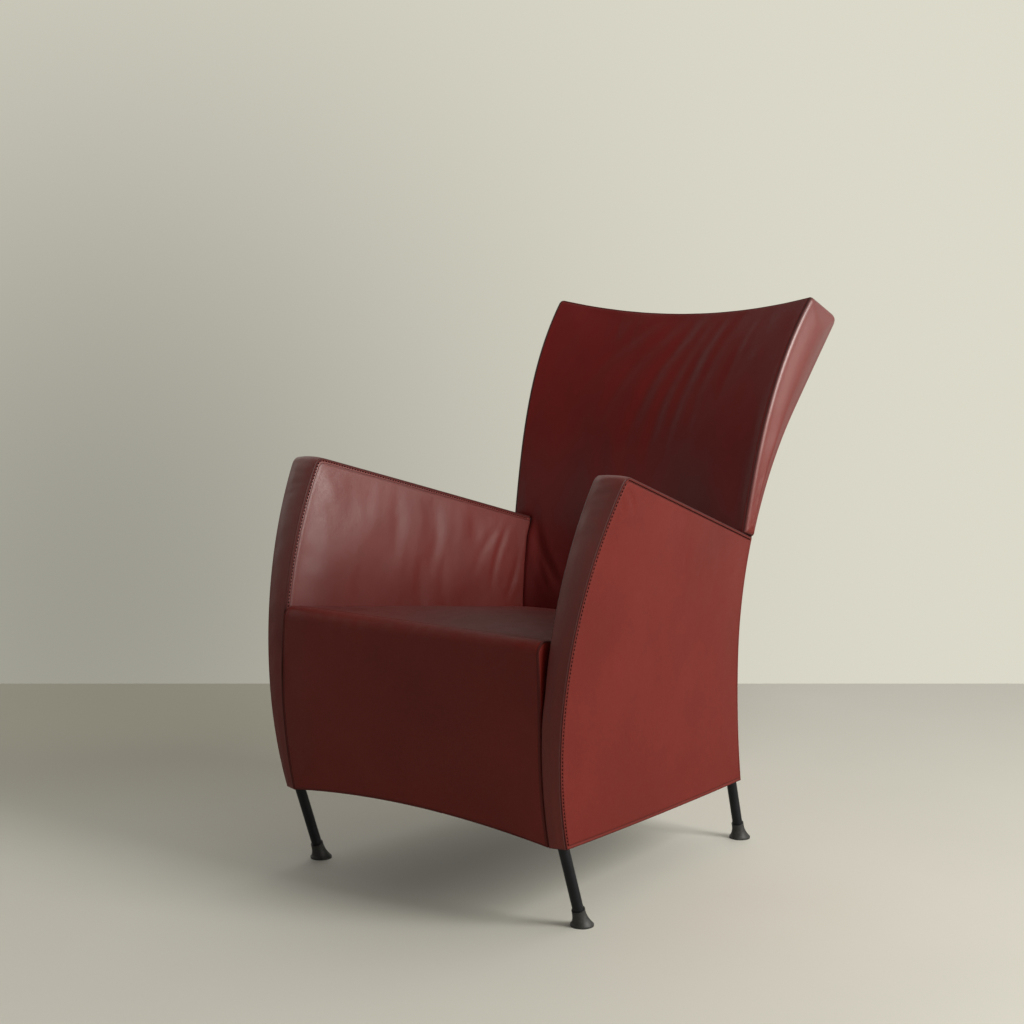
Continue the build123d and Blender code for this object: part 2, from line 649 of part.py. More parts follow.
seat_blank = loft([seat_section(*shares) for shares in SEAT_CROWN_SHARES])
back_room = back_slab(
    lambda z: (back_front_y(z) - CLEARANCE, back_front_y(z) + hollow(z) - CLEARANCE),
    rear_face(-OVERRUN), rear_half_width, low_level, high_level,
)
seat_room = between(lambda y, z: inner_x(y, z, CLEARANCE))
parts["seat_cushion"] = ((seat_blank & seat_room) - back_room).solids().sort_by(SortBy.VOLUME)[-1]

# Boards: front and rear cross members with a row of lightening holes each
inside_shells = between(lambda y, z: outer_x(y, z, pad_out))
board_front = apron_rear + CLEARANCE
board_rear = board_front + BOARD
board_strip = strip(seat_z, -HEIGHT, board_top, board_front, board_rear)
board_holes = hole_row(Plane.XZ * Pos(0, low_hole_z))
parts["front_board"] = (inside_shells & board_strip & arch_prism(BASE_INSET)) - board_holes

board_faces = (rear_face(rear_inset + BOARD), rear_face(rear_inset))
board_blank = back_slab(*board_faces, between_posts, low_level, WAIST_HEIGHT)
rear_board = board_blank & strip(base_z, BASE_INSET, HEIGHT) & strip(seat_z, -HEIGHT, board_top)
parts["rear_board"] = rear_board - board_holes
rear_board_front = min(post_y - post_radius, along(WAIST_SETBACK) - rear_inset - BOARD) - CLEARANCE

# Side rails under the seat and at the base, along the inside of each shell
rail_layer = wall_slab(lambda y, z: outer_x(y, z, pad_out), lambda y, z: outer_x(y, z, pad_out + RAIL_WIDTH))
rail_front = board_rear + CLEARANCE
seat_rail = rail_layer & strip(seat_z, rail_top - SEAT_RAIL_HEIGHT, rail_top, rail_front, rear_board_front)
both_sides("seat_rail", seat_rail)
block_slab = (BASE_INSET, BASE_INSET + BLOCK_HEIGHT)
front_block_rear = rail_front + BLOCK_LENGTH
rear_block_front = rear_board_front - BLOCK_LENGTH
base_rail_ends = (front_block_rear + CLEARANCE, rear_block_front - CLEARANCE)
base_rail_strip = strip(base_z, BASE_INSET, BASE_INSET + BASE_RAIL_HEIGHT, *base_rail_ends)
both_sides("base_rail", rail_layer & base_rail_strip)

# Corner blocks over the leg plates
block_in = pad_out + BLOCK_WIDTH
block_layer = wall_slab(lambda y, z: outer_x(y, z, pad_out), lambda y, z: outer_x(y, z, block_in))
room_layer = wall_slab(outer_x, lambda y, z: outer_x(y, z, block_in + CLEARANCE))
block_ends = {"front": (rail_front, front_block_rear), "rear": (rear_block_front, rear_board_front)}
block_room = []
for end, (front, rear) in block_ends.items():
    both_sides(f"corner_block_{end}", block_layer & strip(base_z, *block_slab, front, rear))
    room = room_layer & strip(base_z, 0, block_slab[1], front - CLEARANCE, rear + CLEARANCE)
    block_room += [room, mirror(room, about=Plane.YZ)]

# Seat webbing: straps front to back over the boards, and straps across under them on the side rails
long_straps = []
long_span = BASE_REAR_WIDTH - 2 * REAR_WALL - 2 * OVERRUN
for share in LONG_WEB_SHARES:
    x = long_span * share
    long_straps.append(Pos(x, 0, HEIGHT / 2) * Box(WEB_WIDTH, 2 * DEPTH, HEIGHT))
long_ends = (board_front, rear_board_front + BOARD)
long_slab = strip(seat_z, web_top - WEB_THICKNESS, web_top, *long_ends)
parts["seat_webbing_long"] = Compound(children=[long_slab & strap for strap in long_straps])
cross_room = between(lambda y, z: outer_x(y, z, pad_out + CLEARANCE))
cross_slab = strip(seat_z, board_top - WEB_THICKNESS, board_top, rail_front, rear_board_front) & cross_room
cross_pitch = (rear_board_front - rail_front) / CROSS_WEBS
cross_straps = []
for strap in range(CROSS_WEBS):
    y = rail_front + (strap + 1 / 2) * cross_pitch
    cross_straps.append(Pos(0, y, HEIGHT / 2) * Box(BASE_FRONT_WIDTH, WEB_WIDTH, HEIGHT))
parts["seat_webbing_cross"] = Compound(children=[cross_slab & strap for strap in cross_straps])

# Dust cover: thin cloth over the underside, arched at the front like the apron
def cover_section(y, arch):
    """Section across the cloth, arched up in its middle."""
    half = SEAT_FRONT_WIDTH / 2
    low = base_z(y) + BASE_INSET - CLEARANCE - COVER_CLOTH
    high = low + COVER_CLOTH
    outline = ThreePointArc((-half, y, low), (0, y, low + arch), (half, y, low))
    outline += Line((half, y, low), (half, y, high))
    outline += ThreePointArc((half, y, high), (0, y, high + arch), (-half, y, high))
    outline += Line((-half, y, high), (-half, y, low))
    return make_face(outline)


cover = loft([cover_section(rail_front, APRON_ARCH), cover_section(rear_board_front, REAR_ARCH)])
cover &= between(lambda y, z: outer_x(y, z, pad_out + RAIL_WIDTH + CLEARANCE))
parts["dust_cover"] = cover - block_room

os.makedirs("parts", exist_ok=True)
for name, shape in parts.items():
    export_step(shape, f"parts/{name}.step")
    print(name, len(shape.solids()), round(shape.volume / 1000, 1))
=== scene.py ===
"""Looks of the high-backed leather armchair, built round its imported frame.

Metres, +Z up. The sitter faces -Y, and the sitter's left hand is the +X side.
"""

import logging
import math
from dataclasses import dataclass, field
from enum import Enum
from typing import Callable, Iterable, Sequence

import bpy
import numpy as np
from mathutils import Euler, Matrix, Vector
from mathutils.kdtree import KDTree


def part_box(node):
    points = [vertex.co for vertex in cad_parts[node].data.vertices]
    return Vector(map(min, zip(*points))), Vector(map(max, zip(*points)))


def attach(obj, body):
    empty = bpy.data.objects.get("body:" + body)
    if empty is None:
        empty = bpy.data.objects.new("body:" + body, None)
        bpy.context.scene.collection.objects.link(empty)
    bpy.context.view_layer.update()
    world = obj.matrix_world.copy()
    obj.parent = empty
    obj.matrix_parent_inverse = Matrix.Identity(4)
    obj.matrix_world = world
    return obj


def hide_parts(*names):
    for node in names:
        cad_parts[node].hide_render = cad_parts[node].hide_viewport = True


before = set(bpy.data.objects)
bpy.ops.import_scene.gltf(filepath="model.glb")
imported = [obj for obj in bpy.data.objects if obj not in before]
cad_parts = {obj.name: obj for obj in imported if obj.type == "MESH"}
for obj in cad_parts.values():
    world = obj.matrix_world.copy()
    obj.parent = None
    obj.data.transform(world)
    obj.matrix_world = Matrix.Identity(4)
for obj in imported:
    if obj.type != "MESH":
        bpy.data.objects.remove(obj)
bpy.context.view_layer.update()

LOG = logging.getLogger("armchair")
Array = np.ndarray
# Points, or their (y, z), at shares u and v of the unit square; or a width at Y and Z
Surface = Callable[[Array, Array], Array]
ROOT = "root"
PHOTO_AZIMUTH = 0.665996
TINY = 1e-12
CURVE_POINTS = 60


class Slot(Enum):
    """Material slots of the record."""

    LEATHER = "burgundy_leather"
    BLACK_STEEL = "black_steel"
    DARK_PLASTIC = "dark_plastic"
    BARE_STEEL = "bare_steel"
    BEECH = "beech"
    WEBBING = "webbing"
    LINING = "lining"


class Side(Enum):
    """The sitter's left and right, as the sign of X."""

    LEFT = 1
    RIGHT = -1

    @property
    def word(self) -> str:
        """The side's word in node names."""
        return self.name.lower()


# Lines of the body


def arc_offset(rise: Array, full_rise: float, full_offset: float) -> Array:
    """Offset of the circle that starts upright and ends at a full rise and offset.

    Args:
        rise: Heights above the upright point.
        full_rise: Rise at the arc's end.
        full_offset: Offset at the arc's end.

    Returns:
        The offsets at those rises.
    """
    radius = (full_rise**2 + full_offset**2) / (2 * full_offset)
    rise = np.clip(rise, 0, full_rise)
    return radius - np.sqrt(radius**2 - rise**2)


@dataclass(frozen=True)
class BodyLines:
    """Driving sizes of the upholstered body, the same as in the CAD source."""

    height: float = 1.0
    seat_height: float = 0.470
    seat_drop: float = 0.072
    seat_depth: float = 0.596
    seat_front_width: float = 0.548
    seat_thickness: float = 0.085
    arm_height: float = 0.716
    arm_rear_height: float = 0.563
    front_clearance: float = 0.140
    rear_clearance: float = 0.114
    base_front_width: float = 0.610
    base_rear_width: float = 0.500
    arm_splay: float = 0.022
    arm_bow: float = 0.031
    back_flare: float = 0.037
    inner_front_width: float = 0.553
    inner_spread: float = 0.0205
    rear_wall: float = 0.039
    side_crown: float = 0.005
    inner_crown: float = 0.003
    belly_height: float = 0.330
    arm_belly_setback: float = 0.006
    arm_foot_setback: float = 0.035
    arm_top_setback: float = 0.116
    apron_foot_setback: float = 0.023
    apron_arch: float = 0.020
    apron_depth: float = 0.0445
    apron_lip: float = 0.022
    back_lean: float = 0.105
    back_curl: float = 0.114
    hollow_low: float = 0.004
    hollow_gain: float = 0.041
    waist_height: float = 0.360
    waist_setback: float = 0.632
    rear_foot_flare: float = 0.020
    bend_height: float = 0.787
    bend_lean: float = 0.151
    rear_crown: float = 0.014
    top_sag: float = 0.029
    top_fall: float = 0.039
    top_rounds: int = 4
    ledge_rounds: int = 8

    @property
    def front_y(self) -> float:
        """The foremost plane of the body."""
        return -float(self.rear_setback(np.array(self.height - self.top_fall))) / 2

    def along(self, setback: Array) -> Array:
        """Y at a setback behind the foremost plane."""
        return self.front_y + setback

    def rear_setback(self, z: Array) -> Array:
        """Setback of the rear edge: flared foot, waist, wide bend, straight lean.

        Args:
            z: Heights.

        Returns:
            Setbacks behind the foremost plane.
        """
        rise = self.bend_height - self.waist_height
        radius = (rise**2 + self.bend_lean**2) / (2 * self.bend_lean)
        foot_run = self.waist_height - self.rear_clearance
        foot = arc_offset(self.waist_height - z, foot_run, self.rear_foot_flare)
        bend = arc_offset(z - self.waist_height, rise, self.bend_lean)
        lean = self.bend_lean + (z - self.bend_height) * rise / (radius - self.bend_lean)
        offset = np.where(z < self.waist_height, foot, np.where(z < self.bend_height, bend, lean))
        return self.waist_setback + offset

    def rear_y(self, z: Array) -> Array:
        """Y of the rear edge at a height."""
        return self.along(self.rear_setback(z))

    def arm_front_y(self, z: Array) -> Array:
        """Y of the convex front edge of the arms.

        Args:
            z: Heights.

        Returns:
            Y at those heights.
        """
        low = arc_offset(
            self.belly_height - z,
            self.belly_height - self.front_clearance,
            self.arm_foot_setback - self.arm_belly_setback,
        )
        high = arc_offset(
            z - self.belly_height,
            self.arm_height - self.belly_height,
            self.arm_top_setback - self.arm_belly_setback,
        )
        return self.along(self.arm_belly_setback + np.where(z < self.belly_height, low, high))

    def apron_y(self, z: Array) -> Array:
        """Y of the apron's front, upright above the belly."""
        low = float(self.base_z(self.along(self.apron_foot_setback)))
        return self.along(arc_offset(self.belly_height - z, self.belly_height - low, self.apron_foot_setback))

    def back_share(self, z: Array) -> Array:
        """Share of the way from the seat's rear edge to the top corners."""
        foot = self.seat_height - self.seat_drop
        return np.maximum((z - foot) / (self.height - foot), 0)

    def back_front_y(self, z: Array) -> Array:
        """Y of the back's front edge at its sides."""
        share = self.back_share(z)
        return self.along(self.seat_depth) + self.back_lean * share + self.back_curl * share**4

    def hollow(self, z: Array) -> Array:
        """Depth of the dish in the inside back."""
        return self.hollow_low + self.hollow_gain * self.back_share(z)

    def base_z(self, y: Array) -> Array:
        """Bottom edge of the body.

        Args:
            y: Places along the body.

        Returns:
            Heights of the edge.
        """
        run = self.waist_setback + self.rear_foot_flare - self.arm_foot_setback
        fall = self.front_clearance - self.rear_clearance
        return self.front_clearance - fall * (y - self.along(self.arm_foot_setback)) / run

    def seat_z(self, y: Array) -> Array:
        """Top of the seat at its sides."""
        return self.seat_height - self.seat_drop * (y - self.front_y) / self.seat_depth

    def arm_top_z(self, y: Array) -> Array:
        """Straight top edge of the arms.

        Args:
            y: Places along the body.

        Returns:
            Heights of the edge.
        """
        front = self.along(self.arm_top_setback)
        rear = self.rear_y(np.array(self.arm_rear_height))
        return self.arm_height - (self.arm_height - self.arm_rear_height) * (y - front) / (rear - front)

    def half_width(self, z: Array) -> Array:
        """Half width of the body at its rear, and of the back."""
        share = (z - self.rear_clearance) / (self.height - self.rear_clearance)
        return self.base_rear_width / 2 + self.back_flare * share**2

    def _wall_x(self, y: Array, z: Array, front_x: Array, rear_x: Array, crown: float) -> Array:
        """Line in plan from a front to a rear half width, bowed by a crown.

        Args:
            y: Places along the body.
            z: Their heights.
            front_x: Half widths at the front edge.
            rear_x: Half widths at the rear edge.
            crown: How far the line stands out in its middle.

        Returns:
            Half widths at those places.
        """
        front, rear = self.arm_front_y(z), self.rear_y(z)
        share = (y - front) / (rear - front)
        return front_x + (rear_x - front_x) * share + 4 * crown * share * (1 - share)

    def _arm_share(self, z: Array) -> Array:
        """Share of the way up the arm's front."""
        return (z - self.front_clearance) / (self.arm_height - self.front_clearance)

    def outer_x(self, y: Array, z: Array) -> Array:
        """Half width over the outside of the arms.

        Args:
            y: Places along the body.
            z: Their heights.

        Returns:
            Half widths at those places.
        """
        share = self._arm_share(z)
        front = self.base_front_width / 2 + share * (self.arm_splay + self.arm_bow * share)
        return self._wall_x(y, z, front, self.half_width(z), self.side_crown)

    def inner_x(self, y: Array, z: Array) -> Array:
        """Half width between the insides of the arms."""
        front = self.inner_front_width / 2 + self.inner_spread * self._arm_share(z) ** 2
        return self._wall_x(y, z, front, self.half_width(z) - self.rear_wall, -self.inner_crown)

    def dish(self, x: Array, z: Array) -> Array:
        """Share of a dish's depth at a place across the back, 1 in the middle."""
        return 1 - np.clip(x / self.half_width(z), -1, 1) ** 2

    def inside_back_y(self, x: Array, z: Array) -> Array:
        """The dished front face of the back."""
        return self.back_front_y(z) + self.hollow(z) * self.dish(x, z)

    def outside_back_y(self, x: Array, z: Array) -> Array:
        """The rear face of the back."""
        return self.rear_y(z) + self.rear_crown * self.dish(x, z)

    def top_front_z(self, x: Array) -> Array:
        """The sagging front top edge."""
        half = self.base_rear_width / 2 + self.back_flare
        return self.height - self.top_sag * (1 - (x / half) ** 2)

    def top_rear_z(self, x: Array) -> Array:
        """The top edge where it meets the rear face.

        Args:
            x: Places across the back.

        Returns:
            Heights of the edge.
        """
        front = self.back_front_y(np.array(self.height))
        rear = self.rear_y(np.array(self.height - self.top_fall))
        z = self.top_front_z(x) - self.top_fall
        for _ in range(self.top_rounds):
            y = self.outside_back_y(x, z)
            z = self.top_front_z(x) - self.top_fall * (y - front) / (rear - front)
        return z

    def ledge_z(self) -> float:
        """Height at which the arms' top meets the front edge of the back.

        Returns:
            The height.
        """
        z = self.arm_rear_height
        for _ in range(self.ledge_rounds):
            z = float(self.arm_top_z(self.back_front_y(np.array(z))))
        return z


LINES = BodyLines()


# Curves in the plane of the side view


class Path:
    """A smooth run of points, read by the share of its length."""

    def __init__(self, points: Iterable[Sequence[float]]) -> None:
        """Keeps the points and their distances along the path.

        Args:
            points: The path's points.
        """
        self.points = np.array(list(points), float)
        steps = np.linalg.norm(np.diff(self.points, axis=0), axis=1)
        self.reach = np.concatenate([[0], np.cumsum(steps)])

    @property
    def length(self) -> float:
        """Whole length."""
        return float(self.reach[-1])

    def at(self, share: Array) -> Array:
        """Points at shares of the length, with one more axis for the coordinates.

        Args:
            share: Shares of the length.

        Returns:
            The points.
        """
        distance = np.clip(share, 0, 1) * self.length
        columns = [np.interp(distance, self.reach, column) for column in self.points.T]
        return np.stack(columns, axis=-1)

    def inset(self, distance: float) -> "Path":
        """The path moved to its right, seen along its run, by a distance.

        Args:
            distance: How far it moves.

        Returns:
            The moved path.
        """
        run = np.gradient(self.points, axis=0)
        run /= np.linalg.norm(run, axis=1, keepdims=True)
        right = np.stack([run[:, 1], -run[:, 0]], axis=-1)
        return Path(self.points + right * distance)

    def part(self, start: float, end: float, count: int = 80) -> "Path":
        """The stretch between two shares of the length."""
        return Path(self.at(np.linspace(start, end, count)))

    def share_near(self, point: Sequence[float]) -> float:
        """Share of the length at the point nearest to a place."""
        nearest = np.linalg.norm(self.points - np.array(point), axis=1).argmin()
        return float(self.reach[nearest] / self.length)


def quadratic(start: Array, corner: Array, end: Array, share: Array) -> Array:
    """Points of the curve from a start to an end that bends towards a corner.

    Args:
        start: Where it starts.
        corner: The corner.
        end: Where it ends.
        share: Shares of the way, with one more axis for the coordinates.

    Returns:
        The points.
    """
    return start * (1 - share) ** 2 + corner * 2 * share * (1 - share) + end * share**2


def rounded(before: Array, corner: Array, after: Array, reach: float, count: int = 9) -> Array:
    """Points of a soft corner between two straight directions.

    Args:
        before: A point on the way to the corner.
        corner: The sharp corner.
        after: A point on the way from the corner.
        reach: Distance from the corner at which the rounding starts and ends.
        count: Number of points.

    Returns:
        The points, from the start to the end of the rounding.
    """
    start = corner + (before - corner) / np.linalg.norm(before - corner) * reach
    end = corner + (after - corner) / np.linalg.norm(after - corner) * reach
    return quadratic(start, corner, end, np.linspace(0, 1, count)[:, None])


def coons(front: Path, rear: Path, low: Path, high: Path) -> Surface:
    """A patch that fills four border curves in the side view.

    Args:
        front: Border at u = 0, from low to high.
        rear: Border at u = 1, from low to high.
        low: Border at v = 0, from front to rear.
        high: Border at v = 1, from front to rear.

    Returns:
        A function of u and v that gives (y, z).
    """

    def place(u: Array, v: Array) -> Array:
        """Places of the patch."""
        a, b = u[..., None], v[..., None]
        sides = (1 - a) * front.at(v) + a * rear.at(v)
        ends = (1 - b) * low.at(u) + b * high.at(u)
        c00, c01 = front.points[0], front.points[-1]
        c10, c11 = rear.points[0], rear.points[-1]
        corners = (1 - a) * ((1 - b) * c00 + b * c01) + a * ((1 - b) * c10 + b * c11)
        return sides + ends - corners

    return place


# Soft forms


@dataclass(frozen=True)
class Padding:
    """How a panel is filled and rounded.

    Attributes:
        depth: Thickness of the closed pad.
        edge: Radius of its rounded border.
        crown: How far the middle stands proud.
        reach: Distance from the border over which the crown rises.
        fill: Tightness of the filling; not used.
        proud: How far the whole face stands out.
        hem: Distance of the sewn groove from the border, 0 for none.
    """

    depth: float
    edge: float = 0.003
    crown: float = 0.002
    reach: float = 0.03
    fill: float = 0.8
    proud: float = 0.0
    hem: float = 0.0


@dataclass(frozen=True)
class Fold:
    """A crease with soft shoulders.

    Attributes:
        start: Where it starts, as shares of the panel.
        end: Where it ends.
        depth: Its depth.
        width: Its half width.
        bow: How far its middle stands aside.
        shoulder: Height of its shoulders.
        tip: Share of its length over which its ends don't fade further.
        fade: Power of the fade at its ends, the smaller the more abrupt.
    """

    start: tuple[float, float]
    end: tuple[float, float]
    depth: float
    width: float
    bow: float = 0.0
    shoulder: float = 1.1
    tip: float = 0.02
    fade: float = 0.6

    def height(self, u: Array, v: Array, size: tuple[float, float]) -> Array:
        """Height of the fold over the panel.

        Args:
            u: Shares along the panel's first side.
            v: Shares along its second side.
            size: Metres along both sides.

        Returns:
            Metres above the smooth surface, below zero in the crease.
        """
        scale = np.array(size)
        start, end = np.array(self.start) * scale, np.array(self.end) * scale
        run = end - start
        length = float(np.linalg.norm(run))
        run = run / length
        side = np.array([-run[1], run[0]])
        offset = np.stack([u * scale[0] - start[0], v * scale[1] - start[1]], axis=-1)
        share = np.clip(offset @ run / length, 0, 1)
        across = offset @ side - self.bow * 4 * share * (1 - share)
        beyond = offset @ run - share * length
        distance = np.sqrt(across**2 + beyond**2) / self.width
        fade = np.sin(np.pi * np.clip(share, self.tip, 1 - self.tip)) ** self.fade
        return -self.depth * fade * (1 - self.shoulder * distance**2) * np.exp(-(distance**2))


@dataclass(frozen=True)
class Ripples:
    """Soft random waves of stretched leather.

    Attributes:
        wave: Wavelength.
        height: Height of a wave.
        heading: Direction across the waves, in radians from u towards v.
        spread: How far the directions scatter.
        seed: Seed of the random draw.
        middle: Where the waves are strongest, as shares, or None for everywhere.
        extent: How far they reach from there, as shares.
        count: Number of waves laid over each other.
        scatter: Least and greatest share of the wavelength.
    """

    wave: float
    height: float
    heading: float = 0.0
    spread: float = math.pi
    seed: int = 1
    middle: tuple[float, float] | None = None
    extent: tuple[float, float] = (0.5, 0.5)
    count: int = 18
    scatter: tuple[float, float] = (0.7, 1.5)

    def field(self, u: Array, v: Array, size: tuple[float, float]) -> Array:
        """Height of the waves over the panel, in metres.

        Args:
            u: Shares along the panel's first side.
            v: Shares along its second side.
            size: Metres along both sides.

        Returns:
            Heights of the waves.
        """
        draw = np.random.default_rng(self.seed)
        headings = self.heading + draw.uniform(-self.spread / 2, self.spread / 2, self.count)
        waves = 2 * np.pi / (self.wave * draw.uniform(*self.scatter, self.count))
        phases = draw.uniform(0, 2 * np.pi, self.count)
        total = np.zeros_like(u)
        for heading, wave, phase in zip(headings, waves, phases):
            run = math.cos(heading) * u * size[0] + math.sin(heading) * v * size[1]
            total += np.cos(wave * run + phase)
        total *= self.height / math.sqrt(self.count)
        if self.middle is None:
            return total
        du, dv = (u - self.middle[0]) / self.extent[0], (v - self.middle[1]) / self.extent[1]
        return total * np.exp(-(du**2) - dv**2)


def graded(
    length: float, fine: float, coarse: float, growth: float = 1.4, even: int = 12, ends: float = 2.2
) -> Array:
    """Shares from 0 to 1 whose steps are even near both ends and then grow towards the middle.

    Args:
        length: Whole length.
        fine: Step at the ends.
        coarse: Step in the middle.
        growth: How much each step is longer than the one before.
        even: Number of even steps at each end.
        ends: Into how many parts the length goes, of which each end takes one at most.

    Returns:
        The shares.
    """
    steps = [fine] * even
    step, used = fine * growth, fine * even
    while step < coarse and used + step < length / ends:
        steps.append(step)
        used += step
        step *= growth
    middle = length - 2 * used
    count = max(int(round(middle / coarse)), 1)
    run = steps + [middle / count] * count + steps[::-1]
    return np.concatenate([[0], np.cumsum(run)]) / length


def spline_weights(share: Array, count: int) -> Array:
    """Weights of a smooth cubic spline through an even row of knots.

    Args:
        share: Places along the row, from 0 to 1.
        count: Number of knots.

    Returns:
        One row of weights for each place.
    """
    place = np.clip(share, 0, 1) * (count - 1)
    first = np.minimum(place.astype(int), count - 2)
    t = place - first
    weights = np.zeros((len(share), count))
    parts = ((1 - t) ** 3, 3 * t**3 - 6 * t**2 + 4, -3 * t**3 + 3 * t**2 + 3 * t + 1, t**3)
    for shift, part in zip((-1, 0, 1, 2), parts):
        np.add.at(weights, (np.arange(len(share)), np.clip(first + shift, 0, count - 1)), part / 6)
    return weights


def grid_normals(points: Array, outward: Sequence[float]) -> tuple[Array, bool]:
    """Unit normals of a grid, on the side that looks outwards.

    Args:
        points: The grid's points, with a last axis for the coordinates.
        outward: A direction on the outer side.

    Returns:
        The normals, and whether the grid's own order looks inwards.
    """
    normal = np.cross(np.gradient(points, axis=0), np.gradient(points, axis=1))
    normal /= np.linalg.norm(normal, axis=2, keepdims=True) + TINY
    turned = float((normal @ np.array(outward)).mean()) < 0
    return (-normal if turned else normal), turned


def grid_quads(shape: tuple[int, int]) -> Array:
    """Point numbers of each cell of a grid."""
    number = np.arange(shape[0] * shape[1]).reshape(shape)
    return np.stack([number[:-1, :-1], number[1:, :-1], number[1:, 1:], number[:-1, 1:]], axis=-1)


def with_neighbours(values: Array) -> list[Array]:
    """A grid of values and its four shifts by one step, its border repeated."""
    wide = np.pad(values, 1, mode="edge")
    return [values, wide[2:, 1:-1], wide[:-2, 1:-1], wide[1:-1, 2:], wide[1:-1, :-2]]


class MeshMaker:
    """Turns arrays of points and faces into a Blender object."""

    @staticmethod
    def make(
        name: str, points: Array, faces: Sequence[Sequence[int]], marks: dict[str, Array] | None = None
    ) -> bpy.types.Object:
        """Builds a smooth mesh object.

        Args:
            name: Name of the piece.
            points: Vertices.
            faces: Vertex numbers of each face.
            marks: Numbers by vertex for the finish, such as the distance from the nearest seam.

        Returns:
            The linked object.
        """
        mesh = bpy.data.meshes.new(name)
        mesh.from_pydata([tuple(p) for p in points], [], [tuple(int(i) for i in f) for f in faces])
        mesh.polygons.foreach_set("use_smooth", [True] * len(mesh.polygons))
        for mark, values in (marks or {}).items():
            attribute = mesh.attributes.new(mark, "FLOAT", "POINT")
            attribute.data.foreach_set("value", np.asarray(values, np.float32))
        mesh.update()
        piece = bpy.data.objects.new(name, mesh)
        bpy.context.scene.collection.objects.link(piece)
        return piece


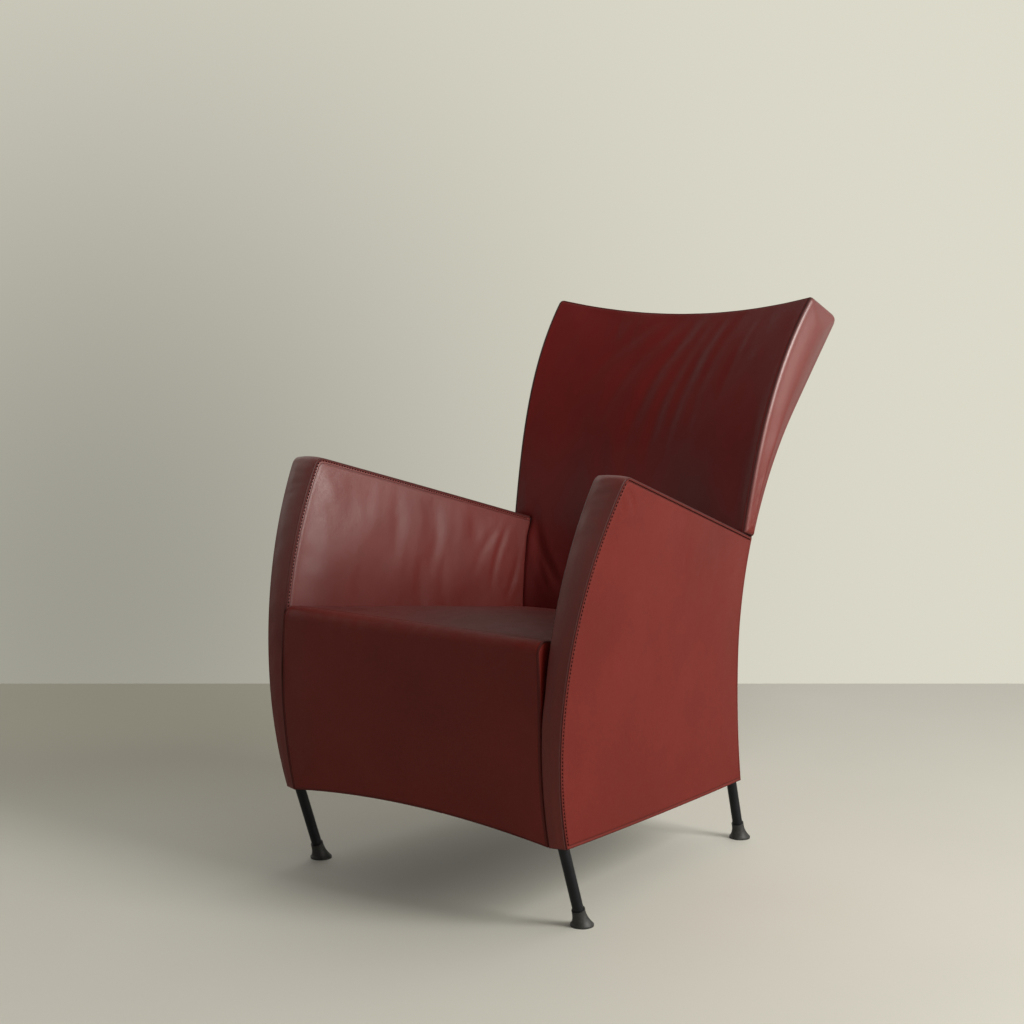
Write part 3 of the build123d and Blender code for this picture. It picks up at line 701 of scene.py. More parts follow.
@dataclass
class Panel:
    """One sewn leather pad, closed all round.

    Attributes:
        name: Name of the piece.
        surface: Its outer face over the unit square.
        size: Metres along u and v.
        outward: A direction that the face looks in.
        padding: How it is filled.
        nodes: CAD nodes that it stands for.
        rimmed: Borders with a rounded edge: u0, u1, v0 and v1.
        flush: Borders that run on into a neighbour, with a flat seam.
        insets: How far the inner sheet stays inside each border, in metres.
        folds: Creases.
        ripples: Random waves.
        back: The inner sheet, where it isn't an even depth below the face.
        keep: Which quads belong to the panel, from their middles' u and v.
        fine: Step of the grid next to the borders.
        coarse: Step of the grid in the middle.
        breaks: Shares of v to which the nearest row of the grid is moved.
        columns: Shares of u to which the nearest column is moved.
        billow: Heights from the cloth simulation, on its own even grid.
        billow_limit: Height to which they are brought down, 0 for a panel that isn't simulated.
        groove: Depth of the groove in which the stitches lie.
        groove_width: Its half width.
        flush_soft: How much weaker the painted shade of a flush seam is, as metres from it.
        border_parts: Into how many parts each border step goes, to measure distances from it.
        wall_shares: Depths of the rows of points in its walls, as shares.
    """

    name: str
    surface: Surface
    size: tuple[float, float]
    outward: tuple[float, float, float]
    padding: Padding
    nodes: tuple[str, ...] = ()
    rimmed: tuple[str, ...] = ("u0", "u1", "v0", "v1")
    flush: tuple[str, ...] = ()
    insets: dict[str, float] = field(default_factory=dict)
    folds: tuple[Fold, ...] = ()
    ripples: tuple[Ripples, ...] = ()
    back: Surface | None = None
    keep: Callable[[Array, Array], Array] | None = None
    fine: float = 0.0007
    coarse: float = 0.006
    breaks: tuple[float, ...] = ()
    columns: tuple[float, ...] = ()
    billow: Array | None = None
    billow_limit: float = 0.0
    groove: float = 0.0009
    groove_width: float = 0.0013
    flush_soft: float = 0.002
    border_parts: int = 5
    wall_shares: tuple[float, ...] = (0.12, 0.5, 0.96)

    def build(self) -> bpy.types.Object:
        """Returns:
            The piece.
        """
        self._lay_out()
        piece = MeshMaker.make(self.name, *self._closed())
        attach(piece, ROOT)
        if self.nodes:
            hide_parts(*self.nodes)
        return piece

    def _lay_out(self) -> None:
        """Works out the grid, its normals and the padded face."""
        u_steps = graded(self.size[0], self.fine, self.coarse)
        v_steps = graded(self.size[1], self.fine, self.coarse)
        for steps, places in ((u_steps, self.columns), (v_steps, self.breaks)):
            for place in places:
                steps[np.abs(steps - place).argmin()] = place
        self.u, self.v = np.meshgrid(u_steps, v_steps, indexing="ij")
        self.flat = self.surface(self.u, self.v)
        self.normal, self.turned = grid_normals(self.flat, self.outward)
        middle_u = (self.u[:-1, :-1] + self.u[1:, 1:]) / 2
        middle_v = (self.v[:-1, :-1] + self.v[1:, 1:]) / 2
        self.kept = np.ones(middle_u.shape, bool) if self.keep is None else self.keep(middle_u, middle_v)
        self.rim_distance = self._border_distance(self.rimmed)
        flush = self._border_distance(self.flush) if self.flush else self.rim_distance
        self.distance = np.minimum(self.rim_distance, flush)
        # The seam mark tells the finish where to paint shade and raise the roughness along the borders, less
        # along flush seams.
        self.seam = np.minimum(self.rim_distance, flush + self.flush_soft)
        self.face = self.flat + self.normal * self._lift()[..., None]

    def _border_points(self, borders: Sequence[str]) -> Array:
        """Points along some borders, close together.

        Args:
            borders: The borders' names.

        Returns:
            The points.
        """
        runs = {
            "u0": self.flat[0, :],
            "u1": self.flat[-1, :],
            "v0": self.flat[:, 0],
            "v1": self.flat[:, -1],
        }
        lines = [runs[side] for side in borders]
        if self.keep is not None:
            lines = list(self._kept_border())
        dense = []
        for line in lines:
            for share in np.linspace(0, 1, self.border_parts + 1)[:-1]:
                dense.append(line[:-1] * (1 - share) + line[1:] * share)
            dense.append(line[-1:])
        return np.concatenate(dense)

    def _kept_border(self) -> Iterable[Array]:
        """Each border edge of the kept quads, as a short line.

        Returns:
            The edges' end points.
        """
        for a, b in self._border_edges():
            yield np.array([self.flat.reshape(-1, 3)[a], self.flat.reshape(-1, 3)[b]])

    def _quads(self) -> Array:
        """Vertex numbers of the kept quads, turned so that they look outwards.

        Returns:
            The numbers, quad by quad.
        """
        quads = grid_quads(self.u.shape)[self.kept]
        return quads[:, ::-1] if self.turned else quads

    def _border_edges(self) -> list[tuple[int, int]]:
        """Directed edges that only one kept quad uses.

        Returns:
            Point numbers of each edge.
        """
        quads = self._quads()
        edges = {(int(q[k]), int(q[(k + 1) % 4])) for q in quads for k in range(4)}
        return [(a, b) for a, b in edges if (b, a) not in edges]

    def _border_distance(self, borders: Sequence[str]) -> Array:
        """Distance of each grid point from the nearest of some borders.

        Args:
            borders: The borders' names.

        Returns:
            The distances.
        """
        border = self._border_points(borders)
        tree = KDTree(len(border))
        for number, point in enumerate(border):
            tree.insert(point, number)
        tree.balance()
        found = [tree.find(point)[2] for point in self.flat.reshape(-1, 3)]
        return np.array(found).reshape(self.u.shape)

    def _lift(self) -> Array:
        """Height of the padded face over the flat one.

        Returns:
            The heights.
        """
        pad = self.padding
        near = np.minimum(self.rim_distance, pad.edge)
        rim = pad.edge - np.sqrt(pad.edge**2 - (pad.edge - near) ** 2)
        lift = pad.proud + pad.crown * (1 - np.exp(-((self.distance / pad.reach) ** 2))) - rim
        lift = lift - self.groove * self._hem()
        calm = 1 - np.exp(-((self.distance / (pad.edge * 4)) ** 2))
        for fold in self.folds:
            lift = lift + fold.height(self.u, self.v, self.size) * calm
        for ripple in self.ripples:
            lift = lift + ripple.field(self.u, self.v, self.size) * calm
        if self.billow is not None:
            rows = spline_weights(self.u[:, 0], self.billow.shape[0])
            columns = spline_weights(self.v[0, :], self.billow.shape[1])
            lift = lift + rows @ self.billow @ columns.T * calm
        return lift

    def _hem(self) -> Array:
        """How much each grid point lies in the sewn groove, from 0 to 1.

        Returns:
            The shares.
        """
        if not self.padding.hem:
            return np.zeros_like(self.u)
        return np.exp(-(((self.rim_distance - self.padding.hem) / self.groove_width) ** 2))

    def _inner_sheet(self) -> Array:
        """The sheet that closes the pad from behind.

        Returns:
            Its points.
        """
        starts = {side: self.insets.get(side, 0.0) for side in ("u0", "u1", "v0", "v1")}
        u = starts["u0"] / self.size[0] + self.u * (1 - (starts["u0"] + starts["u1"]) / self.size[0])
        v = starts["v0"] / self.size[1] + self.v * (1 - (starts["v0"] + starts["v1"]) / self.size[1])
        if self.back is not None:
            return self.back(u, v)
        return self.surface(u, v) - self.normal * self.padding.depth

    def _closed(self) -> tuple[Array, list[Sequence[int]], dict[str, Array]]:
        """Points, faces and marks of the face, the inner sheet and the walls.

        Returns:
            The points, the point numbers of each face, and the marks by name.
        """
        front, inner = self.face.reshape(-1, 3), self._inner_sheet().reshape(-1, 3)
        quads = self._quads()
        count = len(front)
        points = [front, inner]
        faces: list[Sequence[int]] = list(quads) + list(quads[:, ::-1] + count)
        edges = self._border_edges()
        corners = sorted({a for edge in edges for a in edge})
        place = {number: index for index, number in enumerate(corners)}
        rings = [dict(zip(corners, corners))]
        total = 2 * count
        for share in self.wall_shares:
            points.append(front[corners] * (1 - share) + inner[corners] * share)
            rings.append({number: total + place[number] for number in corners})
            total += len(corners)
        rings.append({number: number + count for number in corners})
        for upper, lower in zip(rings, rings[1:]):
            faces += [(upper[b], upper[a], lower[a], lower[b]) for a, b in edges]
        seam, hem = np.full(total, self.padding.reach), np.zeros(total)
        seam[:count], hem[:count] = self.seam.reshape(-1), self._hem().reshape(-1)
        stacked = np.concatenate(points)
        used = np.unique(np.concatenate([np.asarray(face) for face in faces]))
        renumber = np.full(total, -1)
        renumber[used] = np.arange(len(used))
        marks = {"seam": seam[used], "hem": hem[used]}
        return stacked[used], [renumber[np.asarray(face)] for face in faces], marks

    def line_near(self, side: str, distance: float) -> tuple[Array, Array]:
        """A line on the padded face at an even distance from one border.

        Args:
            side: The border: u0, u1, v0 or v1.
            distance: Metres in from it.

        Returns:
            The points and their normals.
        """
        face, normal = self.face, self.normal
        if side[0] == "v":
            face, normal = face.transpose(1, 0, 2), normal.transpose(1, 0, 2)
        if side[1] == "1":
            face, normal = face[::-1], normal[::-1]
        steps = np.linalg.norm(np.diff(face, axis=0), axis=2)
        reach = np.concatenate([np.zeros((1, steps.shape[1])), np.cumsum(steps, axis=0)])
        points, normals = (
            np.array([
                [np.interp(distance, reach[:, column], values[:, column, axis]) for axis in range(3)]
                for column in range(face.shape[1])
            ])
            for values in (face, normal)
        )
        return points, normals


@dataclass(frozen=True)
class Inflation:
    """Cloth simulation in which leather sheets, sewn down at their borders, billow and pucker.

    Attributes:
        spacing: Step of the simulated grid.
        pressure: Pressure under the sheets.
        slack: How much longer the leather is than the shape it covers.
        stiffness: Stiffness against stretching.
        bending: Stiffness against bending.
        frames: Length of the run.
        bulge: Share of the even bulge that is kept beside the wrinkles.
        smoothing: Rounds of averaging that tell the bulge from the wrinkles.
        margin: Grid steps by which a sheet's billows stay inside what its panel keeps.
        quality: Steps of the run in each frame.
        mass: Mass of each point of the grid.
    """

    spacing: float = 0.011
    pressure: float = 4.0
    slack: float = 0.02
    stiffness: float = 30.0
    bending: float = 0.6
    frames: int = 20
    bulge: float = 0.2
    smoothing: int = 30
    margin: int = 3
    quality: int = 6
    mass: float = 0.3

    def run(self, panels: Sequence[Panel]) -> None:
        """Simulates some panels together and gives each its billows.

        Args:
            panels: The panels, whose billow is set.
        """
        sheets = [self._sheet(panel) for panel in panels]
        for number in range(1, self.frames + 1):
            bpy.context.scene.frame_set(number)
        graph = bpy.context.evaluated_depsgraph_get()
        for panel, (sheet, start, normal) in zip(panels, sheets):
            mesh = sheet.evaluated_get(graph).to_mesh()
            moved = np.empty(len(mesh.vertices) * 3, np.float32)
            mesh.vertices.foreach_get("co", moved)
            rise = ((moved.reshape(start.shape) - start) * normal).sum(axis=2)
            even = rise.copy()
            for _ in range(self.smoothing):
                grids = with_neighbours(even)
                even = sum(grids) / len(grids)
            kept = (rise - even + even * self.bulge) * self._whole(panel, rise.shape)
            panel.billow = kept * min(panel.billow_limit / float(np.abs(kept).max()), 1.0)
            LOG.info("%s: billows %.1f to %.1f mm", panel.name, kept.min() * 1000, kept.max() * 1000)
            bpy.data.objects.remove(sheet)
        bpy.context.scene.frame_set(1)

    def _whole(self, panel: Panel, shape: tuple[int, int]) -> Array:
        """Which points of a sheet lie well inside the part of it that the panel keeps.

        Args:
            panel: The panel.
            shape: Rows and columns of the sheet.

        Returns:
            1 at those points and 0 at the others.
        """
        if panel.keep is None:
            return np.ones(shape)
        u, v = np.meshgrid(*(np.linspace(0, 1, count) for count in shape), indexing="ij")
        whole = panel.keep(u, v).astype(float)
        for _ in range(self.margin):
            whole = np.minimum.reduce(with_neighbours(whole))
        return whole

    def _sheet(self, panel: Panel) -> tuple[bpy.types.Object, Array, Array]:
        """The simulated sheet of a panel, its points at rest and their normals.

        Args:
            panel: The panel.

        Returns:
            The sheet, its points and their normals.
        """
        counts = [int(round(length / self.spacing)) + 1 for length in panel.size]
        u, v = np.meshgrid(*(np.linspace(0, 1, count) for count in counts), indexing="ij")
        start = panel.surface(u, v)
        normal, turned = grid_normals(start, panel.outward)
        quads = grid_quads(u.shape).reshape(-1, 4)
        faces = quads[:, ::-1] if turned else quads
        sheet = MeshMaker.make(f"{panel.name}_sheet", start.reshape(-1, 3), faces)
        number = np.arange(u.size).reshape(u.shape)
        border = np.unique(np.concatenate([number[0], number[-1], number[:, 0], number[:, -1]]))
        sheet.vertex_groups.new(name="sewn").add([int(n) for n in border], 1.0, "REPLACE")
        modifier = sheet.modifiers.new("billow", "CLOTH")
        modifier.point_cache.frame_start, modifier.point_cache.frame_end = 1, self.frames
        modifier.collision_settings.use_collision = False
        cloth = modifier.settings
        cloth.quality, cloth.mass = self.quality, self.mass
        cloth.tension_stiffness = cloth.compression_stiffness = self.stiffness
        cloth.shear_stiffness, cloth.bending_stiffness = self.stiffness / 2, self.bending
        cloth.use_pressure, cloth.uniform_pressure_force = True, self.pressure
        cloth.shrink_min = -self.slack
        cloth.vertex_group_mass = "sewn"
        cloth.effector_weights.gravity = 0.0
        return sheet, start, normal


@dataclass(frozen=True)
class Stitching:
    """Rows of sewn stitches, each a short thread that dips into the leather at both ends.

    Attributes:
        pitch: Distance from one stitch to the next.
        length: Length of a stitch.
        radius: Radius of its thread.
        sides: Sides of the thread.
        trim: Length left bare at the ends of each row.
        rings: Place along the stitch in lengths, rise and thickness in radii, ring by ring.
    """

    pitch: float = 0.0060
    length: float = 0.0038
    radius: float = 0.00095
    sides: int = 5
    trim: float = 0.008
    rings: tuple[tuple[float, float, float], ...] = (
        (-0.5, -0.6, 0.6), (-0.3, 0.5, 1.0), (0.3, 0.5, 1.0), (0.5, -0.6, 0.6),
    )

    def build(self, name: str, rows: Sequence[tuple[Array, Array]]) -> bpy.types.Object:
        """Builds all the stitches of some rows as one piece.

        Args:
            name: Name of the piece.
            rows: Points and normals of each row.

        Returns:
            The piece.
        """
        points: list[Array] = []
        faces: list[tuple[int, ...]] = []
        for line, normals in rows:
            path = Path(line)
            for number in range(int((path.length - 2 * self.trim) / self.pitch)):
                faces += self._faces(len(points))
                points += self._points(path, normals, self.trim + (number + 0.5) * self.pitch)
        piece = MeshMaker.make(name, np.array(points), faces)
        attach(piece, ROOT)
        return piece

    def _points(self, path: Path, normals: Array, middle: float) -> list[Array]:
        """Points of one stitch, ring by ring.

        Args:
            path: The row.
            normals: Normals of the leather at the row's points.
            middle: Distance of the stitch's middle along the row.

        Returns:
            The points.
        """
        spine = path.at(np.array([(middle + ring[0] * self.length) / path.length for ring in self.rings]))
        reach = path.reach / path.length
        normal = np.array([np.interp(middle / path.length, reach, column) for column in normals.T])
        normal /= np.linalg.norm(normal)
        run = spine[-1] - spine[0]
        run /= np.linalg.norm(run)
        side = np.cross(run, normal)
        points = []
        for place, (_, rise, thick) in zip(spine, self.rings):
            centre = place + normal * self.radius * rise
            for turn in range(self.sides):
                angle = 2 * math.pi * turn / self.sides
                spoke = side * math.cos(angle) + normal * math.sin(angle)
                points.append(centre + spoke * self.radius * thick)
        return points

    def _faces(self, first: int) -> list[tuple[int, ...]]:
        """Faces of one stitch.

        Args:
            first: Number of its first point.

        Returns:
            Point numbers of its walls and of its two ends.
        """
        last = first + (len(self.rings) - 1) * self.sides
        turns = range(self.sides)
        faces: list[tuple[int, ...]] = []
        for ring in range(first, last, self.sides):
            for turn in turns:
                a, b = ring + turn, ring + (turn + 1) % self.sides
                faces.append((a, b, b + self.sides, a + self.sides))
        return faces + [tuple(first + turn for turn in reversed(turns)), tuple(last + turn for turn in turns)]


# Sub-assemblies


@dataclass
class ArmShape:
    """Side outline of the arms, in (y, z).

    Attributes:
        corner_reach: Length of the rounding of the front top corner on each side of it.
        seam_gap: How far the faces stay inside the outline, for the seam's groove.
        rear_gap: How far they stay in front of the rear face.
    """

    corner_reach: float = 0.017
    seam_gap: float = 0.0015
    rear_gap: float = 0.002

    def front_curve(self, low: float, high: float, count: int = 70) -> Array:
        """Points up the convex front edge."""
        z = np.linspace(low, high, count)
        return np.stack([LINES.arm_front_y(z), z], axis=-1)

    def outline(self) -> Path:
        """The front edge, the rounded corner and the top edge, from the base to the back.

        Returns:
            The outline.
        """
        low = float(LINES.base_z(LINES.along(LINES.arm_foot_setback)))
        rise = self.front_curve(low, LINES.arm_height)
        rear_y = float(LINES.rear_y(np.array(LINES.arm_rear_height))) - self.rear_gap
        end = np.array([rear_y, float(LINES.arm_top_z(rear_y))])
        corner = rise[-1]
        kept = rise[np.linalg.norm(rise - corner, axis=1) > self.corner_reach]
        turn = rounded(rise[-4], corner, end, self.corner_reach)
        return Path(np.concatenate([kept, turn, end[None]]))

    def rear_edge(self, low: float, high: float) -> Path:
        """The rear edge of the arms between two heights."""
        z = np.linspace(low, high, CURVE_POINTS)
        return Path(np.stack([LINES.rear_y(z) - self.rear_gap, z], axis=-1))


@dataclass
class Arm:
    """One arm: outer panel, inner panel and the band over its front and top.

    Attributes:
        side: Which arm it is.
        shape: Its side outline.
        outer_pad: Filling of the outer panel.
        inner_pad: Filling of the inner panel.
        band_pad: Filling of the band.
        flush_fade: Height above the belly over which the band leaves the apron's plane.
        apron_step: How far it stays behind that plane.
        apron_close: Share of the seam's gap that closes beside the apron.
        back_room: How far the inner panel ends before the rear edge.
        band_taper: How much its inner sheet is narrower on each side, in depths of the band.
    """

    side: Side
    shape: ArmShape = field(default_factory=ArmShape)
    outer_pad: Padding = Padding(depth=0.010, edge=0.0022, crown=0.0025, reach=0.05, hem=0.0058)
    inner_pad: Padding = Padding(depth=0.014, edge=0.0070, crown=0.0050, reach=0.06, hem=0.0080)
    band_pad: Padding = Padding(depth=0.012, edge=0.0026, crown=0.0018, reach=0.012)
    flush_fade: float = 0.06
    apron_step: float = 0.0035
    apron_close: float = 0.8
    back_room: float = 0.030
    band_taper: float = 0.8

    def sided(self, x: Array, y: Array, z: Array) -> Array:
        """Points with X turned to this arm's side."""
        return np.stack([x * self.side.value, y, z], axis=-1)

    def side_face(self, patch: Surface, half_width: Surface) -> Surface:
        """A side face of the arm.

        Args:
            patch: Its (y, z) over the unit square.
            half_width: Its half width at Y and Z.

        Returns:
            The face over the unit square.
        """

        def surface(u: Array, v: Array) -> Array:
            """Points of the outer face."""
            place = patch(u, v)
            y, z = place[..., 0], place[..., 1]
            return self.sided(half_width(y, z), y, z)

        return surface

    def face_patch(self, low_z: Callable[[Array], Array], rear_gap: float) -> Surface:
        """The patch of a side face, from a bottom line up to the outline.

        Args:
            low_z: Height of the bottom line at a Y.
            rear_gap: How far the face ends before the rear edge.

        Returns:
            Its (y, z) over the unit square.
        """
        edge = self.shape.outline().inset(self.shape.seam_gap)
        corner = edge.share_near((float(LINES.arm_front_y(LINES.arm_height)), LINES.arm_height))
        heights = edge.points[:, 1] - low_z(edge.points[:, 0])
        start = edge.reach[np.argmax(heights >= 0)] / edge.length
        front = edge.part(start, corner)
        high = edge.part(corner, 1)
        rear_top = high.points[-1]
        rear_low_y = float(LINES.rear_y(np.array(float(low_z(rear_top[0])))))
        rear = self.shape.rear_edge(float(low_z(rear_low_y)), rear_top[1])
        rear = Path(rear.points + np.array([rear_top[0] - rear.points[-1, 0], 0]))
        if rear_gap:
            rear = Path(rear.points + np.array([-rear_gap, 0]))
            high_points = high.points.copy()
            high_points[:, 0] = high_points[0, 0] + (high_points[:, 0] - high_points[0, 0]) * (
                (rear.points[-1, 0] - high_points[0, 0]) / (rear_top[0] - high_points[0, 0])
            )
            high_points[:, 1] = np.interp(high_points[:, 0], high.points[:, 0], high.points[:, 1])
            high = Path(high_points)
            rear = Path(np.concatenate([rear.points[:-1], high_points[-1:]]))
        low_y = np.linspace(front.points[0, 0], rear.points[0, 0], CURVE_POINTS)
        low_points = np.stack([low_y, low_z(low_y)], axis=-1)
        low_points[0], low_points[-1] = front.points[0], rear.points[0]
        return coons(front, rear, Path(low_points), high)

    def outer_panel(self) -> Panel:
        """The large panel on the outside of the arm.

        Returns:
            The panel.
        """
        word = self.side.word
        return Panel(
            name=f"arm_outer_panel_{word}",
            surface=self.side_face(self.face_patch(LINES.base_z, 0.0), LINES.outer_x),
            size=(0.62, 0.52),
            outward=(self.side.value, 0, 0),
            padding=self.outer_pad,
            nodes=(f"arm_outer_pad_{word}",),
            insets={"u0": self.outer_pad.depth, "v1": self.outer_pad.depth, "u1": self.outer_pad.depth},
            folds=(
                Fold((0.03, 0.965), (0.13, 0.91), 0.0016, 0.0045, 0.004),
                Fold((0.02, 0.93), (0.07, 0.90), 0.0010, 0.004, 0.002),
                Fold((0.50, 0.96), (0.53, 0.78), 0.0003, 0.010),
                Fold((0.63, 0.95), (0.64, 0.74), 0.0003, 0.010),
                Fold((0.76, 0.94), (0.75, 0.70), 0.0003, 0.011),
            ),
            ripples=(
                Ripples(0.20, 0.0005, seed=11 + self.side.value),
                Ripples(0.05, 0.00006, heading=0.2, spread=1.6, seed=14 + self.side.value),
            ),
        )

    def inner_panel(self) -> Panel:
        """The panel on the inside of the arm, down behind the seat's edge.

        Returns:
            The panel.
        """
        patch = self.face_patch(lambda y: LINES.seat_z(y) - LINES.seat_thickness, self.back_room)
        word = self.side.word
        return Panel(
            name=f"arm_inner_panel_{word}",
            surface=self.side_face(patch, LINES.inner_x),
            size=(0.55, 0.28),
            outward=(-self.side.value, 0, 0),
            padding=self.inner_pad,
            billow_limit=0.0026,
            nodes=(f"arm_inner_pad_{word}",),
            rimmed=("u0", "v1"),
            insets={"u0": self.inner_pad.depth, "v1": self.inner_pad.depth, "u1": 0.004},
            folds=(
                Fold((0.90, 0.95), (0.83, 0.42), 0.0016, 0.010, -0.010),
                Fold((0.95, 0.72), (0.90, 0.36), 0.0018, 0.009, 0.006),
                Fold((0.86, 0.90), (0.74, 0.52), 0.0010, 0.013, -0.010),
                Fold((0.05, 0.93), (0.14, 0.80), 0.0007, 0.007, 0.005),
                Fold((0.04, 0.84), (0.12, 0.68), 0.0006, 0.007, 0.004),
                Fold((0.48, 0.95), (0.51, 0.66), 0.0006, 0.014, 0.006),
            ),
            ripples=(
                Ripples(0.13, 0.0006, heading=0.3, spread=2.4, seed=21 + self.side.value),
                Ripples(
                    0.028, 0.00012, heading=0.1, spread=2.6, seed=24 + self.side.value,
                    middle=(0.1, 0.8), extent=(0.35, 0.5),
                ),
            ),
        )

    def band(self) -> Panel:
        """The strip over the front and the top of the arm.

        Returns:
            The panel.
        """
        outline = self.shape.outline()
        gap = self.shape.seam_gap

        def surface(u: Array, v: Array) -> Array:
            """Points of the outer face."""
            place = outline.at(v)
            y, z = place[..., 0], place[..., 1]
            low = np.clip((LINES.belly_height + self.flush_fade - z) / self.flush_fade, 0, 1)
            low = low**2 * (3 - 2 * low)
            outer = LINES.outer_x(y, z) - gap
            inner = LINES.inner_x(y, z) + gap * (1 - self.apron_close * low)
            forward = (y - LINES.apron_y(z) - self.apron_step) * low * u
            return self.sided(outer + (inner - outer) * u, y - np.where(v < 0.5, forward, 0), z)

        inner_path = outline.inset(self.band_pad.depth)

        def back(u: Array, v: Array) -> Array:
            """Points of the inner sheet."""
            place = inner_path.at(v)
            y, z = place[..., 0], place[..., 1]
            inset = gap + self.band_pad.depth * self.band_taper
            outer, inner = LINES.outer_x(y, z) - inset, LINES.inner_x(y, z) + inset
            return self.sided(outer + (inner - outer) * u, y, z)

        word = self.side.word
        return Panel(
            name=f"arm_band_cover_{word}",
            surface=surface,
            back=back,
            size=(0.05, outline.length),
            outward=(0, -0.7, 0.7),
            padding=self.band_pad,
            nodes=(f"arm_band_{word}",),
            coarse=0.0045,
            folds=(
                Fold((0.10, 0.507), (0.90, 0.501), 0.0014, 0.0040),
                Fold((0.05, 0.489), (0.80, 0.483), 0.0012, 0.0042, 0.002),
                Fold((0.25, 0.470), (0.95, 0.474), 0.0010, 0.0040, -0.002),
                Fold((0.10, 0.452), (0.60, 0.456), 0.0007, 0.0045),
                Fold((0.45, 0.430), (0.90, 0.425), 0.0005, 0.0045),
            ),
            ripples=(Ripples(0.05, 0.00035, heading=math.pi / 2, spread=1.0, seed=31 + self.side.value),),
        )

    def __post_init__(self) -> None:
        """Lays out the panels."""
        self.panels: tuple[Panel, ...] = (self.outer_panel(), self.inner_panel(), self.band())

    def build(self) -> list[bpy.types.Object]:
        """Builds the arm's pieces and its stitching.

        Returns:
            The pieces.
        """
        outer, inner, band = self.panels
        pieces = [outer.build(), inner.build(), band.build()]
        rows = [outer.line_near(side, self.outer_pad.hem) for side in ("u0", "v1")]
        rows += [inner.line_near(side, self.inner_pad.hem) for side in ("u0", "v1")]
        pieces.append(Stitching().build(f"arm_stitching_{self.side.word}", rows))
        return pieces


